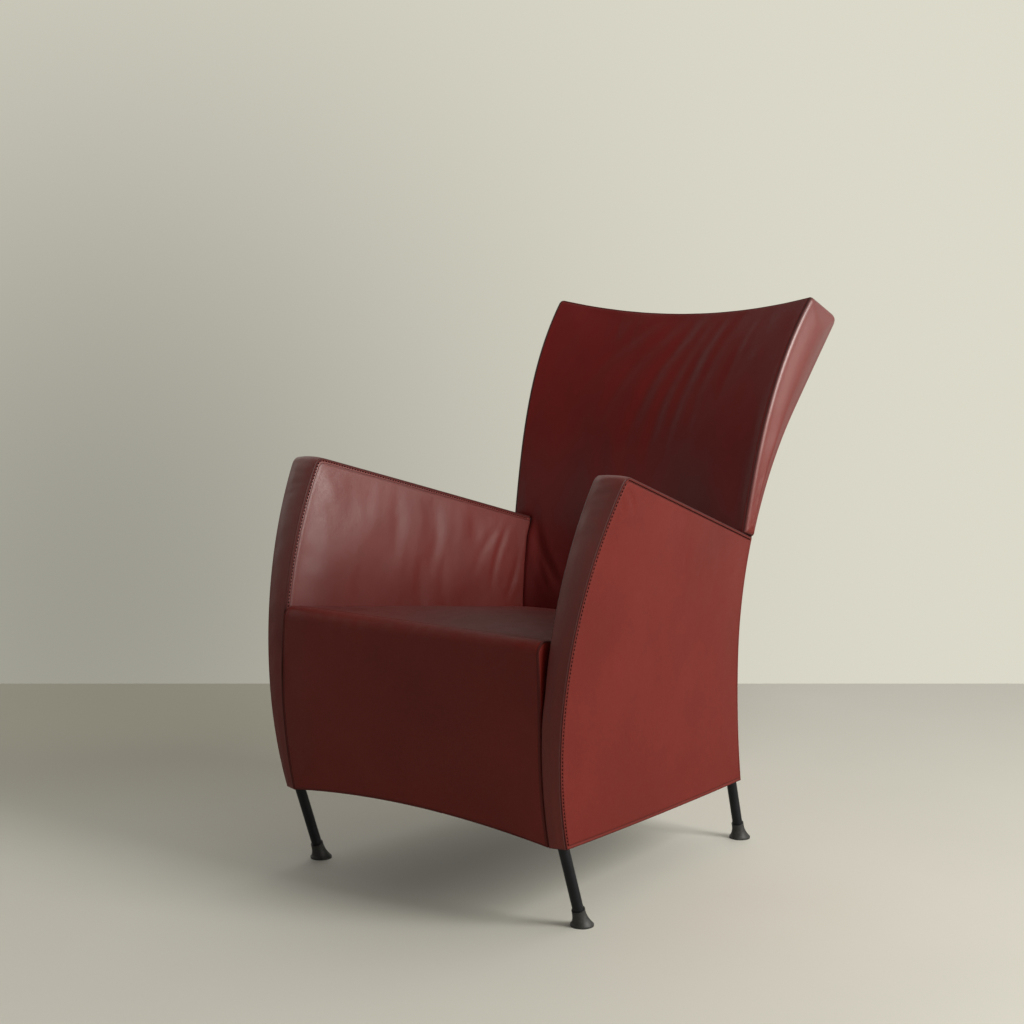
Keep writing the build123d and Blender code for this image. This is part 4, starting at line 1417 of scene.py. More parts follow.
@dataclass
class Back:
    """The high back: inside, side bands, top band and outside.

    Attributes:
        seam_gap: How far the panels stay inside the outline, for the seams' grooves.
        front_turn: Reach of the rounding of the front top edge.
        rear_turn: Reach of the rounding of the rear top edge.
        inside_pad: Filling of the inside.
        side_pad: Filling of the side bands.
        top_pad: Filling of the top band.
        outside_pad: Filling of the outside.
        seat_tuck: How far the inside goes down behind the seat.
        post_room: Depth kept free for the posts before the rear face.
        roll: How far the inside rolls forward against the arms.
        roll_reach: Width of that roll.
        thinnest: Least thickness of the inside.
        top_room: How far its inner sheet stays below the top edge.
        ledge_tuck: How far the inside sinks into the arms' tops.
        ledge_share: Share of the inside's v at which it widens over the arms.
        turn_share: Share of v at which the top rounding starts.
        shoulder: Share of u that each side above the arms takes.
        arm_gap: Gap between the inside and the arms.
        roll_start: How far above the ledge the roll starts.
        roll_fade: Height over which it grows from there.
        top_taper: Share of the top band's depth from front to rear that its inner sheet keeps.
    """

    seam_gap: float = 0.0014
    front_turn: float = 0.009
    rear_turn: float = 0.026
    inside_pad: Padding = Padding(depth=0.05, edge=0.0030, crown=0.003, reach=0.06, fill=0.7)
    side_pad: Padding = Padding(depth=0.010, edge=0.0080, crown=0.0105, reach=0.030, proud=0.0050)
    top_pad: Padding = Padding(depth=0.009, edge=0.0030, crown=0.003, reach=0.03)
    outside_pad: Padding = Padding(depth=0.009, edge=0.0026, crown=0.002, reach=0.05, hem=0.0042)
    seat_tuck: float = 0.022
    post_room: float = 0.034
    roll: float = 0.0058
    roll_reach: float = 0.020
    thinnest: float = 0.004
    top_room: float = 0.014
    ledge_tuck: float = 0.004
    ledge_share: float = 0.34
    turn_share: float = 0.975
    shoulder: float = 0.09
    arm_gap: float = 0.0006
    roll_start: float = 0.004
    roll_fade: float = 0.045
    top_taper: float = 0.82

    def crest(self, x: Array, turn: Array) -> tuple[Array, Array]:
        """Y and Z along the rounded profile of the top edge.

        Args:
            x: Places across the back.
            turn: 0 to 1 over the front rounding, 1 to 2 along the top, 2 to 3 over the rear rounding.

        Returns:
            Y and Z at each place.
        """
        front_z, rear_z = LINES.top_front_z(x), LINES.top_rear_z(x)
        front = np.stack([LINES.inside_back_y(x, front_z), front_z], axis=-1)
        rear = np.stack([LINES.outside_back_y(x, rear_z), rear_z], axis=-1)
        low_front_z, low_rear_z = front_z - self.front_turn, rear_z - self.rear_turn
        below_front = np.stack([LINES.inside_back_y(x, low_front_z), low_front_z], axis=-1)
        below_rear = np.stack([LINES.outside_back_y(x, low_rear_z), low_rear_z], axis=-1)
        over = (rear - front) / np.linalg.norm(rear - front, axis=-1, keepdims=True)
        front_end, rear_start = front + over * self.front_turn, rear - over * self.rear_turn
        first, middle, last = (np.clip(turn - shift, 0, 1)[..., None] for shift in (0, 1, 2))
        on_front = quadratic(below_front, front, front_end, first)
        on_top = front_end + (rear_start - front_end) * middle
        on_rear = quadratic(rear_start, rear, below_rear, last)
        place = np.where(turn[..., None] < 1, on_front, np.where(turn[..., None] < 2, on_top, on_rear))
        return place[..., 0], place[..., 1]

    def top_z(self, x: Array, y: Array) -> Array:
        """Height of the straight top between its front and rear edges.

        Args:
            x: Places across the back.
            y: Places along it.

        Returns:
            The heights.
        """
        front_z, rear_z = LINES.top_front_z(x), LINES.top_rear_z(x)
        front, rear = LINES.inside_back_y(x, front_z), LINES.outside_back_y(x, rear_z)
        return front_z + (rear_z - front_z) * (y - front) / (rear - front)

    def inside_x(self, u: Array, z: Array, ledge: float) -> Array:
        """X over the inside, whose outer columns fan out above the ledge.

        Args:
            u: Shares across the inside.
            z: Heights.
            ledge: Height of the ledge.

        Returns:
            X at those places.
        """
        shoulder = self.shoulder
        wide = LINES.half_width(np.maximum(z, ledge)) - self.seam_gap
        low = np.minimum(z, ledge)
        inner = LINES.inner_x(LINES.back_front_y(low), low) - self.arm_gap
        middle = (2 * np.clip((u - shoulder) / (1 - 2 * shoulder), 0, 1) - 1) * inner
        left, right = np.clip(u / shoulder, 0, 1), np.clip((1 - u) / shoulder, 0, 1)
        x = np.where(u < shoulder, -wide + (wide - inner) * left, middle)
        return np.where(u > 1 - shoulder, wide - (wide - inner) * right, x)

    def inside(self) -> Panel:
        """The dished inside of the back, which widens above the arms.

        Returns:
            The panel.
        """
        ledge = LINES.ledge_z() - self.ledge_tuck
        foot = float(LINES.seat_z(LINES.along(LINES.seat_depth))) - self.seat_tuck
        shoulder, split, bend = self.shoulder, self.ledge_share, self.turn_share

        def place(u: Array, v: Array) -> Array:
            """The flat sheet: below the ledge, up to the crest, and over its rounding."""
            low = foot + (ledge - foot) * v / split
            rise = (LINES.height - ledge) * np.clip((v - split) / (1 - split), 0, 1)
            x = np.where(v < split, self.inside_x(u, low, ledge), self.inside_x(u, ledge + rise, ledge))
            top = LINES.top_front_z(x) - self.front_turn
            high = ledge + (top - ledge) * (v - split) / (bend - split)
            z = np.where(v < split, low, high)
            y = LINES.inside_back_y(x, z)
            crest_y, crest_z = self.crest(x, 0.5 * np.clip((v - bend) / (1 - bend), 0, 1))
            over = v > bend
            return np.stack([x, np.where(over, crest_y, y), np.where(over, crest_z, z)], axis=-1)

        def surface(u: Array, v: Array) -> Array:
            """Points of the outer face."""
            points = place(u, v)
            x, z = points[..., 0], points[..., 2]
            inner = LINES.inner_x(LINES.back_front_y(np.minimum(z, ledge)), np.minimum(z, ledge))
            near = np.exp(-(((inner - np.abs(x)) / self.roll_reach) ** 2))
            limit = LINES.rear_y(z) - self.post_room - self.roll
            below = np.clip((ledge + self.roll_start - z) / self.roll_fade, 0, 1)
            push = np.maximum(points[..., 1] - limit, 0) * near * below**2 * (3 - 2 * below)
            points[..., 1] -= push
            return points

        def back(u: Array, v: Array) -> Array:
            """Points of the inner sheet."""
            points = surface(u, v)
            x, z = points[..., 0], points[..., 2]
            rear = LINES.outside_back_y(x, z) - self.post_room
            y = np.clip(rear, points[..., 1] + self.thinnest, points[..., 1] + self.inside_pad.depth)
            return np.stack([x, y, np.minimum(z, self.top_z(x, y) - self.top_room)], axis=-1)

        def keep(u: Array, v: Array) -> Array:
            """Which quads belong to the panel."""
            return ((u > shoulder) & (u < 1 - shoulder)) | (v > split)

        return Panel(
            name="back_inside",
            surface=surface,
            back=back,
            keep=keep,
            size=(0.56, 0.62),
            outward=(0, -1, 0),
            padding=self.inside_pad,
            billow_limit=0.0012,
            nodes=("back_cushion",),
            insets={"v1": 0.006},
            breaks=(split, bend),
            columns=(shoulder, 1 - shoulder),
            folds=self._inside_folds(),
            ripples=(
                Ripples(0.16, 0.0012, heading=0.25, spread=0.9, seed=41),
                Ripples(
                    0.06, 0.0005, heading=-0.35, spread=0.6, seed=42,
                    middle=(0.68, 0.85), extent=(0.26, 0.3),
                ),
                Ripples(0.025, 0.00010, heading=0.0, spread=2.6, seed=43),
            ),
        )

    @staticmethod
    def _inside_folds() -> tuple[Fold, ...]:
        """Folds that fan out from the top edge, and those by the arms.

        Returns:
            The folds.
        """
        fan = (
            Fold((0.44, 0.97), (0.20, 0.72), 0.0013, 0.016, -0.016),
            Fold((0.52, 0.97), (0.30, 0.62), 0.0015, 0.018, -0.018),
            Fold((0.59, 0.97), (0.42, 0.52), 0.0017, 0.018, -0.018),
            Fold((0.65, 0.97), (0.52, 0.50), 0.0017, 0.016, -0.016),
            Fold((0.70, 0.97), (0.60, 0.55), 0.0014, 0.013, -0.012),
            Fold((0.76, 0.97), (0.68, 0.62), 0.0012, 0.012, -0.008),
            Fold((0.83, 0.97), (0.78, 0.70), 0.0010, 0.012, -0.004),
            Fold((0.25, 0.98), (0.28, 0.88), 0.0008, 0.009, -0.004),
            Fold((0.33, 0.98), (0.34, 0.87), 0.0008, 0.009, -0.004),
        )
        low = (
            Fold((0.10, 0.37), (0.25, 0.12), 0.0030, 0.013, -0.014),
            Fold((0.11, 0.31), (0.20, 0.10), 0.0020, 0.010, -0.008),
            Fold((0.90, 0.37), (0.76, 0.14), 0.0026, 0.013, 0.014),
            Fold((0.33, 0.60), (0.36, 0.22), 0.0014, 0.022, 0.014),
            Fold((0.47, 0.56), (0.47, 0.25), 0.0012, 0.022, -0.008),
        )
        return fan + low

    def side_outline(self) -> tuple[Path, Path, Path, Path]:
        """Borders of a side band in (y, z): front, rear, low and high.

        Returns:
            The four borders, in that order.
        """
        top, rear_top = LINES.height, LINES.height - LINES.top_fall
        z = np.linspace(LINES.ledge_z(), top, CURVE_POINTS)
        front = np.stack([LINES.back_front_y(z), z], axis=-1)
        z = np.linspace(LINES.arm_rear_height, rear_top, CURVE_POINTS)
        rear = np.stack([LINES.rear_y(z), z], axis=-1)
        front_turn = rounded(front[-3], front[-1], rear[-1], self.front_turn)
        rear_turn = rounded(front[-1], rear[-1], rear[-3], self.rear_turn)
        front_kept = front[np.linalg.norm(front - front[-1], axis=1) > self.front_turn]
        rear_kept = rear[np.linalg.norm(rear - rear[-1], axis=1) > self.rear_turn]
        around = Path(np.concatenate([front_kept, front_turn, rear_turn, rear_kept[::-1]]))
        around = around.inset(self.seam_gap)
        first, second = around.share_near(front_turn[4]), around.share_near(rear_turn[4])
        low_y = np.linspace(around.points[0, 0], around.points[-1, 0], 40)
        low = np.stack([low_y, LINES.arm_top_z(low_y) + self.seam_gap], axis=-1)
        front_points, rear_points = around.part(0, first).points, around.part(second, 1).points[::-1]
        front_points[0], rear_points[0] = low[0], low[-1]
        return Path(front_points), Path(rear_points), Path(low), around.part(first, second)

    def side_band(self, side: Side) -> Panel:
        """The padded band between the inside and the outside, above the arm.

        Args:
            side: Which side it is on.

        Returns:
            The panel.
        """
        patch = coons(*self.side_outline())

        def surface(u: Array, v: Array) -> Array:
            """Points of the outer face."""
            place = patch(u, v)
            x = LINES.half_width(place[..., 1]) * side.value
            return np.stack([x, place[..., 0], place[..., 1]], axis=-1)

        word, depth = side.word, self.side_pad.depth
        return Panel(
            name=f"back_side_band_cover_{word}",
            surface=surface,
            size=(0.1, 0.44),
            outward=(side.value, 0, 0),
            padding=self.side_pad,
            nodes=(f"back_side_band_{word}",),
            insets={"u0": depth, "u1": depth, "v1": depth, "v0": 0.002},
            coarse=0.005,
            folds=(
                Fold((0.10, 0.07), (0.55, 0.16), 0.0014, 0.008, 0.006),
                Fold((0.12, 0.13), (0.50, 0.26), 0.0009, 0.009, 0.006),
                Fold((0.35, 0.93), (0.62, 0.84), 0.0004, 0.007),
            ),
            ripples=(Ripples(0.08, 0.0005, heading=math.pi / 2, spread=1.2, seed=51 + side.value),),
        )

    def top_band(self) -> Panel:
        """The strip along the sagging top edge.

        Returns:
            The panel.
        """

        def surface(u: Array, v: Array) -> Array:
            """Points of the outer face."""
            x = (2 * u - 1) * (LINES.half_width(LINES.height - v * LINES.top_fall) - self.seam_gap)
            y, z = self.crest(x, 0.5 + 2 * v)
            return np.stack([x, y, z], axis=-1)

        def back(u: Array, v: Array) -> Array:
            """Points of the inner sheet."""
            inner = surface(u, v)
            middle = surface(u, np.full_like(v, 0.5))
            shrunk = middle + (inner - middle) * self.top_taper
            shrunk[..., 2] -= self.top_pad.depth
            return shrunk

        depth = self.top_pad.depth
        return Panel(
            name="back_top_band_cover",
            surface=surface,
            back=back,
            size=(0.57, 0.12),
            outward=(0, 0, 1),
            padding=self.top_pad,
            nodes=("back_top_band",),
            insets={"u0": depth, "u1": depth},
            coarse=0.005,
            ripples=(Ripples(0.06, 0.0005, heading=0.0, spread=1.0, seed=61),),
        )

    def outside(self) -> Panel:
        """The large panel on the rear of the back.

        Returns:
            The panel.
        """
        bend = self.turn_share

        def surface(u: Array, v: Array) -> Array:
            """Points of the outer face."""
            low = LINES.rear_clearance
            rough_z = low + v * (LINES.height - LINES.top_fall - low)
            x = (2 * u - 1) * (LINES.half_width(rough_z) - self.seam_gap)
            z = low + np.minimum(v / bend, 1) * (LINES.top_rear_z(x) - self.rear_turn - low)
            crest_y, crest_z = self.crest(x, 3 - 0.5 * np.clip((v - bend) / (1 - bend), 0, 1))
            over = v > bend
            y = np.where(over, crest_y, LINES.outside_back_y(x, z))
            return np.stack([x, y, np.where(over, crest_z, z)], axis=-1)

        depth = self.outside_pad.depth
        return Panel(
            name="back_outside",
            surface=surface,
            size=(0.54, 0.92),
            outward=(0, 1, 0),
            padding=self.outside_pad,
            billow_limit=0.002,
            nodes=("back_outer_panel",),
            insets={"u0": depth, "u1": depth, "v1": depth},
            breaks=(bend,),
            coarse=0.008,
            folds=(
                Fold((0.04, 0.52), (0.26, 0.44), 0.0012, 0.016, 0.01),
                Fold((0.96, 0.52), (0.74, 0.45), 0.0012, 0.016, -0.01),
                Fold((0.30, 0.95), (0.34, 0.80), 0.0008, 0.014),
                Fold((0.68, 0.95), (0.65, 0.82), 0.0008, 0.014),
            ),
            ripples=(
                Ripples(0.16, 0.0010, heading=0.0, spread=1.6, seed=71),
                Ripples(0.05, 0.00012, seed=72),
            ),
        )

    def __post_init__(self) -> None:
        """Lays out the panels."""
        bands = (self.side_band(side) for side in Side)
        self.panels: tuple[Panel, ...] = (self.inside(), self.top_band(), self.outside(), *bands)

    def build(self) -> list[bpy.types.Object]:
        """Builds the back's pieces and its stitching.

        Returns:
            The pieces.
        """
        outside = self.panels[2]
        pieces = [panel.build() for panel in self.panels]
        rows = [outside.line_near(side, outside.padding.hem) for side in ("u0", "u1", "v1")]
        pieces.append(Stitching().build("back_stitching", rows))
        return pieces


@dataclass
class Seat:
    """The seat cushion and the apron that rolls over its front.

    Attributes:
        seam_gap: Half the gap between the apron and the cushion.
        wedge: How far below the belly's height the apron starts to leave the arms' insides.
        cushion_pad: Filling of the cushion.
        apron_pad: Filling of the apron.
        rear_gap: Gap between the cushion and what stands beside and behind it.
        board_gap: How much the apron's inner sheet is narrower on each side.
        front_points: Points of the apron's convex front.
        lip_points: Points of its lip.
        path_points: Points of its whole profile.
    """

    seam_gap: float = 0.0012
    wedge: float = 0.02
    cushion_pad: Padding = Padding(
        depth=0.085, edge=0.009, crown=0.0125, reach=0.11, fill=0.75, proud=-0.0025
    )
    apron_pad: Padding = Padding(
        depth=0.044, edge=0.0020, crown=0.0060, reach=0.06, fill=0.85, proud=-0.0025, hem=0.0036
    )
    rear_gap: float = 0.001
    board_gap: float = 0.0005
    front_points: int = 40
    lip_points: int = 20
    path_points: int = 260

    def apron_path(self) -> Path:
        """The apron's profile in (y, z): convex front, rolled lip and the start of the seat.

        Returns:
            The profile.
        """
        low = float(LINES.base_z(LINES.along(LINES.apron_foot_setback)))
        z = np.linspace(low, LINES.belly_height, self.front_points)
        front = np.stack([LINES.apron_y(z), z], axis=-1)
        lip_y = LINES.along(LINES.apron_lip)
        lip_z = float(LINES.seat_z(lip_y))
        angle = np.linspace(0, math.pi / 2, self.lip_points)
        lip = np.stack([
            lip_y - LINES.apron_lip * np.cos(angle),
            lip_z - LINES.apron_lip * (1 - np.sin(angle)),
        ], axis=-1)
        rear_y = LINES.along(LINES.apron_depth) - self.seam_gap
        end = np.array([[rear_y, float(LINES.seat_z(rear_y))]])
        rough = Path(np.concatenate([front, lip, end]))
        return Path(rough.at(np.linspace(0, 1, self.path_points)))

    def apron(self) -> Panel:
        """The full-height padded panel under the seat's front edge.

        Returns:
            The panel.
        """
        path = self.apron_path()
        half = LINES.seat_front_width / 2

        def surface(u: Array, v: Array) -> Array:
            """Points of the outer face."""
            across = 2 * u - 1
            start = LINES.apron_arch * (1 - across**2) / path.length
            place = path.at(start + v * (1 - start))
            y, z = place[..., 0], place[..., 1]
            rise = LINES.seat_height - LINES.belly_height
            free = np.clip((z - LINES.belly_height + self.wedge) / rise, 0, 1)
            tight = LINES.inner_x(LINES.arm_front_y(z), z) - self.seam_gap / 5
            return np.stack([across * (tight + (half - tight) * free), y, z], axis=-1)

        rear_y = LINES.along(LINES.apron_depth)

        def back(u: Array, v: Array) -> Array:
            """Points of the inner sheet."""
            x = (2 * u - 1) * (half - self.board_gap)
            low = path.points[0, 1] + LINES.apron_arch * (1 - (x / half) ** 2)
            high = float(LINES.seat_z(rear_y)) - self.apron_pad.edge
            return np.stack([x, np.full_like(x, rear_y), low + (high - low) * v], axis=-1)

        return Panel(
            name="front_apron_cover",
            surface=surface,
            back=back,
            size=(0.548, path.length),
            outward=(0, -0.8, 0.6),
            padding=self.apron_pad,
            billow_limit=0.0010,
            nodes=("front_apron",),
            rimmed=("u0", "u1", "v0"),
            flush=("v1",),
            coarse=0.006,
            ripples=(
                Ripples(0.12, 0.0006, seed=81),
                Ripples(
                    0.035, 0.00022, heading=0.1, spread=1.4, seed=82, middle=(0.5, 0.9), extent=(0.6, 0.2)
                ),
            ),
        )

    def cushion(self) -> Panel:
        """The seat cushion, crowned and rounded along its sides.

        Returns:
            The panel.
        """
        front = LINES.along(LINES.apron_depth) + self.seam_gap
        rear_z = float(LINES.seat_z(LINES.along(LINES.seat_depth)))
        front_half = LINES.seat_front_width / 2

        def place(u: Array, v: Array) -> tuple[Array, Array]:
            """X and Y of the cushion's points."""
            rear_y = LINES.along(LINES.seat_depth)
            rear_half = LINES.inner_x(rear_y, np.array(rear_z)) - self.rear_gap
            half = front_half + (rear_half - front_half) * v
            x = (2 * u - 1) * half
            end = LINES.inside_back_y(x, np.array(rear_z)) - self.rear_gap
            return x, front + (end - front) * v

        def surface(u: Array, v: Array) -> Array:
            """Points of the outer face."""
            x, y = place(u, v)
            return np.stack([x, y, LINES.seat_z(y)], axis=-1)

        def back(u: Array, v: Array) -> Array:
            """Points of the inner sheet."""
            x, y = place(u, v)
            return np.stack([x, y, LINES.seat_z(y) - LINES.seat_thickness], axis=-1)

        return Panel(
            name="seat_cushion_cover",
            surface=surface,
            back=back,
            size=(0.55, 0.55),
            outward=(0, 0, 1),
            padding=self.cushion_pad,
            billow_limit=0.005,
            nodes=("seat_cushion",),
            rimmed=("u0", "u1", "v1"),
            flush=("v0",),
            coarse=0.007,
            folds=(
                Fold((0.1, 0.9), (0.3, 0.86), 0.0018, 0.014, 0.01),
                Fold((0.9, 0.9), (0.7, 0.87), 0.0016, 0.014, -0.01),
                Fold((0.35, 0.95), (0.65, 0.94), 0.0016, 0.012, 0.006),
                Fold((0.06, 0.3), (0.12, 0.6), 0.0010, 0.012, 0.008),
            ),
            ripples=(
                Ripples(0.11, 0.0013, seed=91, middle=(0.5, 0.6), extent=(0.5, 0.5)),
                Ripples(0.035, 0.0003, seed=92),
            ),
        )

    def __post_init__(self) -> None:
        """Lays out the panels."""
        self.panels: tuple[Panel, ...] = (self.apron(), self.cushion())

    def build(self) -> list[bpy.types.Object]:
        """Builds the apron and the cushion."""
        return [panel.build() for panel in self.panels]


# Finishes


class Signal:
    """One shader value, with arithmetic that adds the nodes."""

    def __init__(self, tree: "NodeTree", socket: bpy.types.NodeSocket) -> None:
        """Wraps an output socket."""
        self.tree = tree
        self.socket = socket

    def _math(self, operation: str, *values: "Signal | float") -> "Signal":
        """A Math node on this tree."""
        return self.tree.node("ShaderNodeMath", dict(enumerate(values)), operation=operation)

    def __add__(self, other: "Signal | float") -> "Signal":
        """Sum."""
        return self._math("ADD", self, other)

    def __radd__(self, other: float) -> "Signal":
        """Sum with a number on the left."""
        return self._math("ADD", other, self)

    def __sub__(self, other: "Signal | float") -> "Signal":
        """Difference."""
        return self._math("SUBTRACT", self, other)

    def __rsub__(self, other: float) -> "Signal":
        """Difference from a number."""
        return self._math("SUBTRACT", other, self)

    def __mul__(self, other: "Signal | float") -> "Signal":
        """Product."""
        return self._math("MULTIPLY", self, other)

    def __truediv__(self, other: "Signal | float") -> "Signal":
        """Quotient."""
        return self._math("DIVIDE", self, other)

    def sine(self) -> "Signal":
        """Sine."""
        return self._math("SINE", self)

    def size(self) -> "Signal":
        """Absolute value."""
        return self._math("ABSOLUTE", self)

    def clamp(self) -> "Signal":
        """Kept within 0 and 1."""
        return self.tree.node("ShaderNodeClamp", {"Value": self})

    def ramp(self, low: float, high: float) -> "Signal":
        """0 below low and 1 above high, straight between them."""
        return self.tree.node("ShaderNodeMapRange", {"Value": self, "From Min": low, "From Max": high})


class NodeTree:
    """The nodes of one material or world."""

    def __init__(self, owner: bpy.types.Material | bpy.types.World) -> None:
        """Starts an empty tree on its owner.

        Args:
            owner: The material or world.
        """
        self.owner = owner
        owner.use_nodes = True
        owner.node_tree.nodes.clear()

    @classmethod
    def of_material(cls, name: str) -> "NodeTree":
        """The empty tree of a new material."""
        return cls(bpy.data.materials.new(name))

    def node(self, kind: str, inputs: dict | None = None, output: int | str = 0, **settings) -> Signal:
        """Adds a node.

        Args:
            kind: Blender's name of the node type.
            inputs: Values or signals by socket name or number.
            output: Which output to return.
            settings: Attributes of the node.

        Returns:
            The chosen output.
        """
        made = self.owner.node_tree.nodes.new(kind)
        for key, value in settings.items():
            setattr(made, key, value)
        for key, value in (inputs or {}).items():
            if isinstance(value, Signal):
                self.owner.node_tree.links.new(value.socket, made.inputs[key])
            else:
                made.inputs[key].default_value = value
        return Signal(self, made.outputs[output])

    def place(self) -> Signal:
        """The point on the piece, in the shared frame's metres."""
        return self.node("ShaderNodeTexCoord", output="Object")

    def attribute(self, name: str) -> Signal:
        """A number kept on the mesh."""
        return self.node("ShaderNodeAttribute", output="Fac", attribute_name=name)

    def noise(self, place: Signal, size: float, detail: float = 3, roughness: float = 0.5) -> Signal:
        """Soft noise, with blobs of a size in metres."""
        return self.node(
            "ShaderNodeTexNoise",
            {"Vector": place, "Scale": 1 / size, "Detail": detail, "Roughness": roughness},
        )

    def stretched(self, place: Signal, scale: Sequence[float]) -> Signal:
        """The place scaled along each axis."""
        return self.node("ShaderNodeMapping", {"Vector": place, "Scale": tuple(scale)})

    def blend(self, share: Signal | float, first: "Signal | Tone", second: "Signal | Tone") -> Signal:
        """A colour between two others."""
        first, second = (tone.colour if isinstance(tone, Tone) else tone for tone in (first, second))
        return self.node(
            "ShaderNodeMix", {"Factor": share, 6: first, 7: second}, output=2, data_type="RGBA"
        )

    def bump(
        self, height: Signal, distance: float, strength: float = 1.0, normal: Signal | None = None
    ) -> Signal:
        """A normal turned by a height.

        Args:
            height: The height.
            distance: Metres that a height of 1 stands for.
            strength: How strongly it turns.
            normal: The normal that it starts from, or None for the face's own.

        Returns:
            The turned normal.
        """
        inputs = {"Height": height, "Distance": distance, "Strength": strength}
        if normal is not None:
            inputs["Normal"] = normal
        return self.node("ShaderNodeBump", inputs)

    def finish(self, **inputs: "Signal | float | tuple") -> bpy.types.Material:
        """Ends the tree in a Principled BSDF.

        Args:
            inputs: Values or signals by socket name, with _ for a space.

        Returns:
            The finished material.
        """
        named = {key.replace("_", " "): value for key, value in inputs.items()}
        shader = self.node("ShaderNodeBsdfPrincipled", named)
        self.end("ShaderNodeOutputMaterial", shader)
        return self.owner

    def end(self, kind: str, shader: Signal) -> None:
        """Joins a shader to the output of a kind."""
        output = self.owner.node_tree.nodes.new(kind)
        self.owner.node_tree.links.new(shader.socket, output.inputs["Surface"])


@dataclass(frozen=True)
class Tone:
    """A colour given in screen values from 0 to 255."""

    red: float
    green: float
    blue: float

    @property
    def colour(self) -> tuple[float, float, float, float]:
        """The linear colour.

        Returns:
            Red, green, blue and 1.
        """
        shares = [value / 255 for value in (self.red, self.green, self.blue)]
        linear = [s / 12.92 if s <= 0.04045 else ((s + 0.055) / 1.055) ** 2.4 for s in shares]
        return (*linear, 1.0)


@dataclass(frozen=True)
class LeatherFinish:
    """Full-grain burgundy leather, with painted shade in its seams, hem grooves and fine creases, and
    polished where it is rubbed.

    Attributes:
        base: Its colour.
        deep: The colour of its darker clouds, and of the painted shade in its fine creases.
        worn: The colour of its rubbed spots.
        seam: The colour of the painted shade in its seams and hem grooves.
        roughness: Its roughness.
        specular: Strength of its gloss.
        polish: Weight of the polish that use leaves.
        polished_from: Heights between which the polish sets in.
        grain: Size of its grain.
        crease: Size of its fine creases.
        cloud_size: Size of its clouds.
        rub_size: Size of its rubbed spots.
        seam_reach: Distances from a seam at which its painted shade starts and is full.
    """

    base: Tone = Tone(111, 28, 19)
    deep: Tone = Tone(104, 24, 16)
    worn: Tone = Tone(120, 35, 26)
    seam: Tone = Tone(38, 8, 6)
    roughness: float = 0.46
    specular: float = 0.32
    polish: float = 0.0
    polished_from: tuple[float, float] = (-1.0, 0.0)
    grain: float = 0.0016
    crease: float = 0.008
    cloud_size: float = 0.22
    rub_size: float = 0.06
    seam_reach: tuple[float, float] = (0.0030, 0.0004)

    def make(self) -> bpy.types.Material:
        """Makes the material.

        Returns:
            The material.
        """
        tree = NodeTree.of_material(Slot.LEATHER.value)
        place = tree.place()
        height = tree.node("ShaderNodeSeparateXYZ", {"Vector": place}, output=2)
        cloud = tree.noise(place, self.cloud_size, 4, 0.55)
        rub = tree.noise(place, self.rub_size, 6, 0.62)
        tone = tree.blend(cloud.ramp(0.38, 0.66), self.base, self.deep)
        tone = tree.blend(rub.ramp(0.58, 0.80) * 0.35, tone, self.worn)
        # Painted shade: near each border the colour darkens towards the seam colour, where shade falls in the
        # seam's groove.
        gap = tree.attribute("seam").ramp(*self.seam_reach)
        tone = tree.blend(gap * 0.75, tone, self.seam)
        # Painted shade: the colour darkens along the sewn groove of each hem, where the stitches lie.
        tone = tree.blend(tree.attribute("hem").ramp(0.2, 1.0) * 0.45, tone, self.seam)
        cells = tree.node(
            "ShaderNodeTexVoronoi",
            {"Vector": self._jittered(tree, place), "Scale": 1 / self.grain, "Randomness": 1.0},
            feature="DISTANCE_TO_EDGE",
        )
        creases = tree.noise(place, self.crease, 6, 0.65)
        lines = (creases - 0.5).size().ramp(0.0, 0.07)
        # Painted shade: the colour darkens a little along the fine creases.
        tone = tree.blend((1 - lines) * 0.10, tone, self.deep)
        normal = tree.bump(cells.ramp(0.0, 0.35), 0.00016, 0.45)
        normal = tree.bump(lines, 0.00022, 0.22, normal)
        normal = tree.bump(tree.noise(place, 0.005, 3), 0.0005, 0.22, normal)
        normal = tree.bump(tree.noise(place, 0.03, 2), 0.0015, 0.10, normal)
        rough = self.roughness + (rub - 0.5) * 0.18 + (1 - lines) * 0.06 + gap * 0.4
        return tree.finish(
            Base_Color=tone,
            Roughness=rough,
            Normal=normal,
            Specular_IOR_Level=self.specular,
            Coat_Weight=height.ramp(*self.polished_from) * self.polish * (1 - gap * 0.8),
            Coat_Roughness=0.36,
        )

    @staticmethod
    def _jittered(tree: NodeTree, place: Signal) -> Signal:
        """The place, shifted a little so that the grain's cells are uneven.

        Args:
            tree: The material's nodes.
            place: The point on the piece.

        Returns:
            The shifted point.
        """
        shift = tree.node("ShaderNodeTexNoise", {"Vector": place, "Scale": 300.0}, output="Color")
        small = tree.node("ShaderNodeVectorMath", {0: shift, "Scale": 0.0008}, operation="SCALE")
        return tree.node("ShaderNodeVectorMath", {0: place, 1: small}, operation="ADD")


@dataclass(frozen=True)
class ThreadFinish:
    """Waxed dark thread.

    Attributes:
        tone: Its colour between the strands.
        light: Its colour on them.
        specular: Strength of its gloss.
    """

    tone: Tone = Tone(24, 6, 6)
    light: Tone = Tone(38, 12, 11)
    specular: float = 0.08

    def make(self) -> bpy.types.Material:
        """Makes the material.

        Returns:
            The material.
        """
        tree = NodeTree.of_material("waxed_thread")
        strands = tree.noise(tree.place(), 0.0012, 2)
        tone = tree.blend(strands, self.tone, self.light)
        return tree.finish(
            Base_Color=tone,
            Roughness=0.8 + strands * 0.15,
            Normal=tree.bump(strands, 0.0002, 0.5),
            Specular_IOR_Level=self.specular,
        )


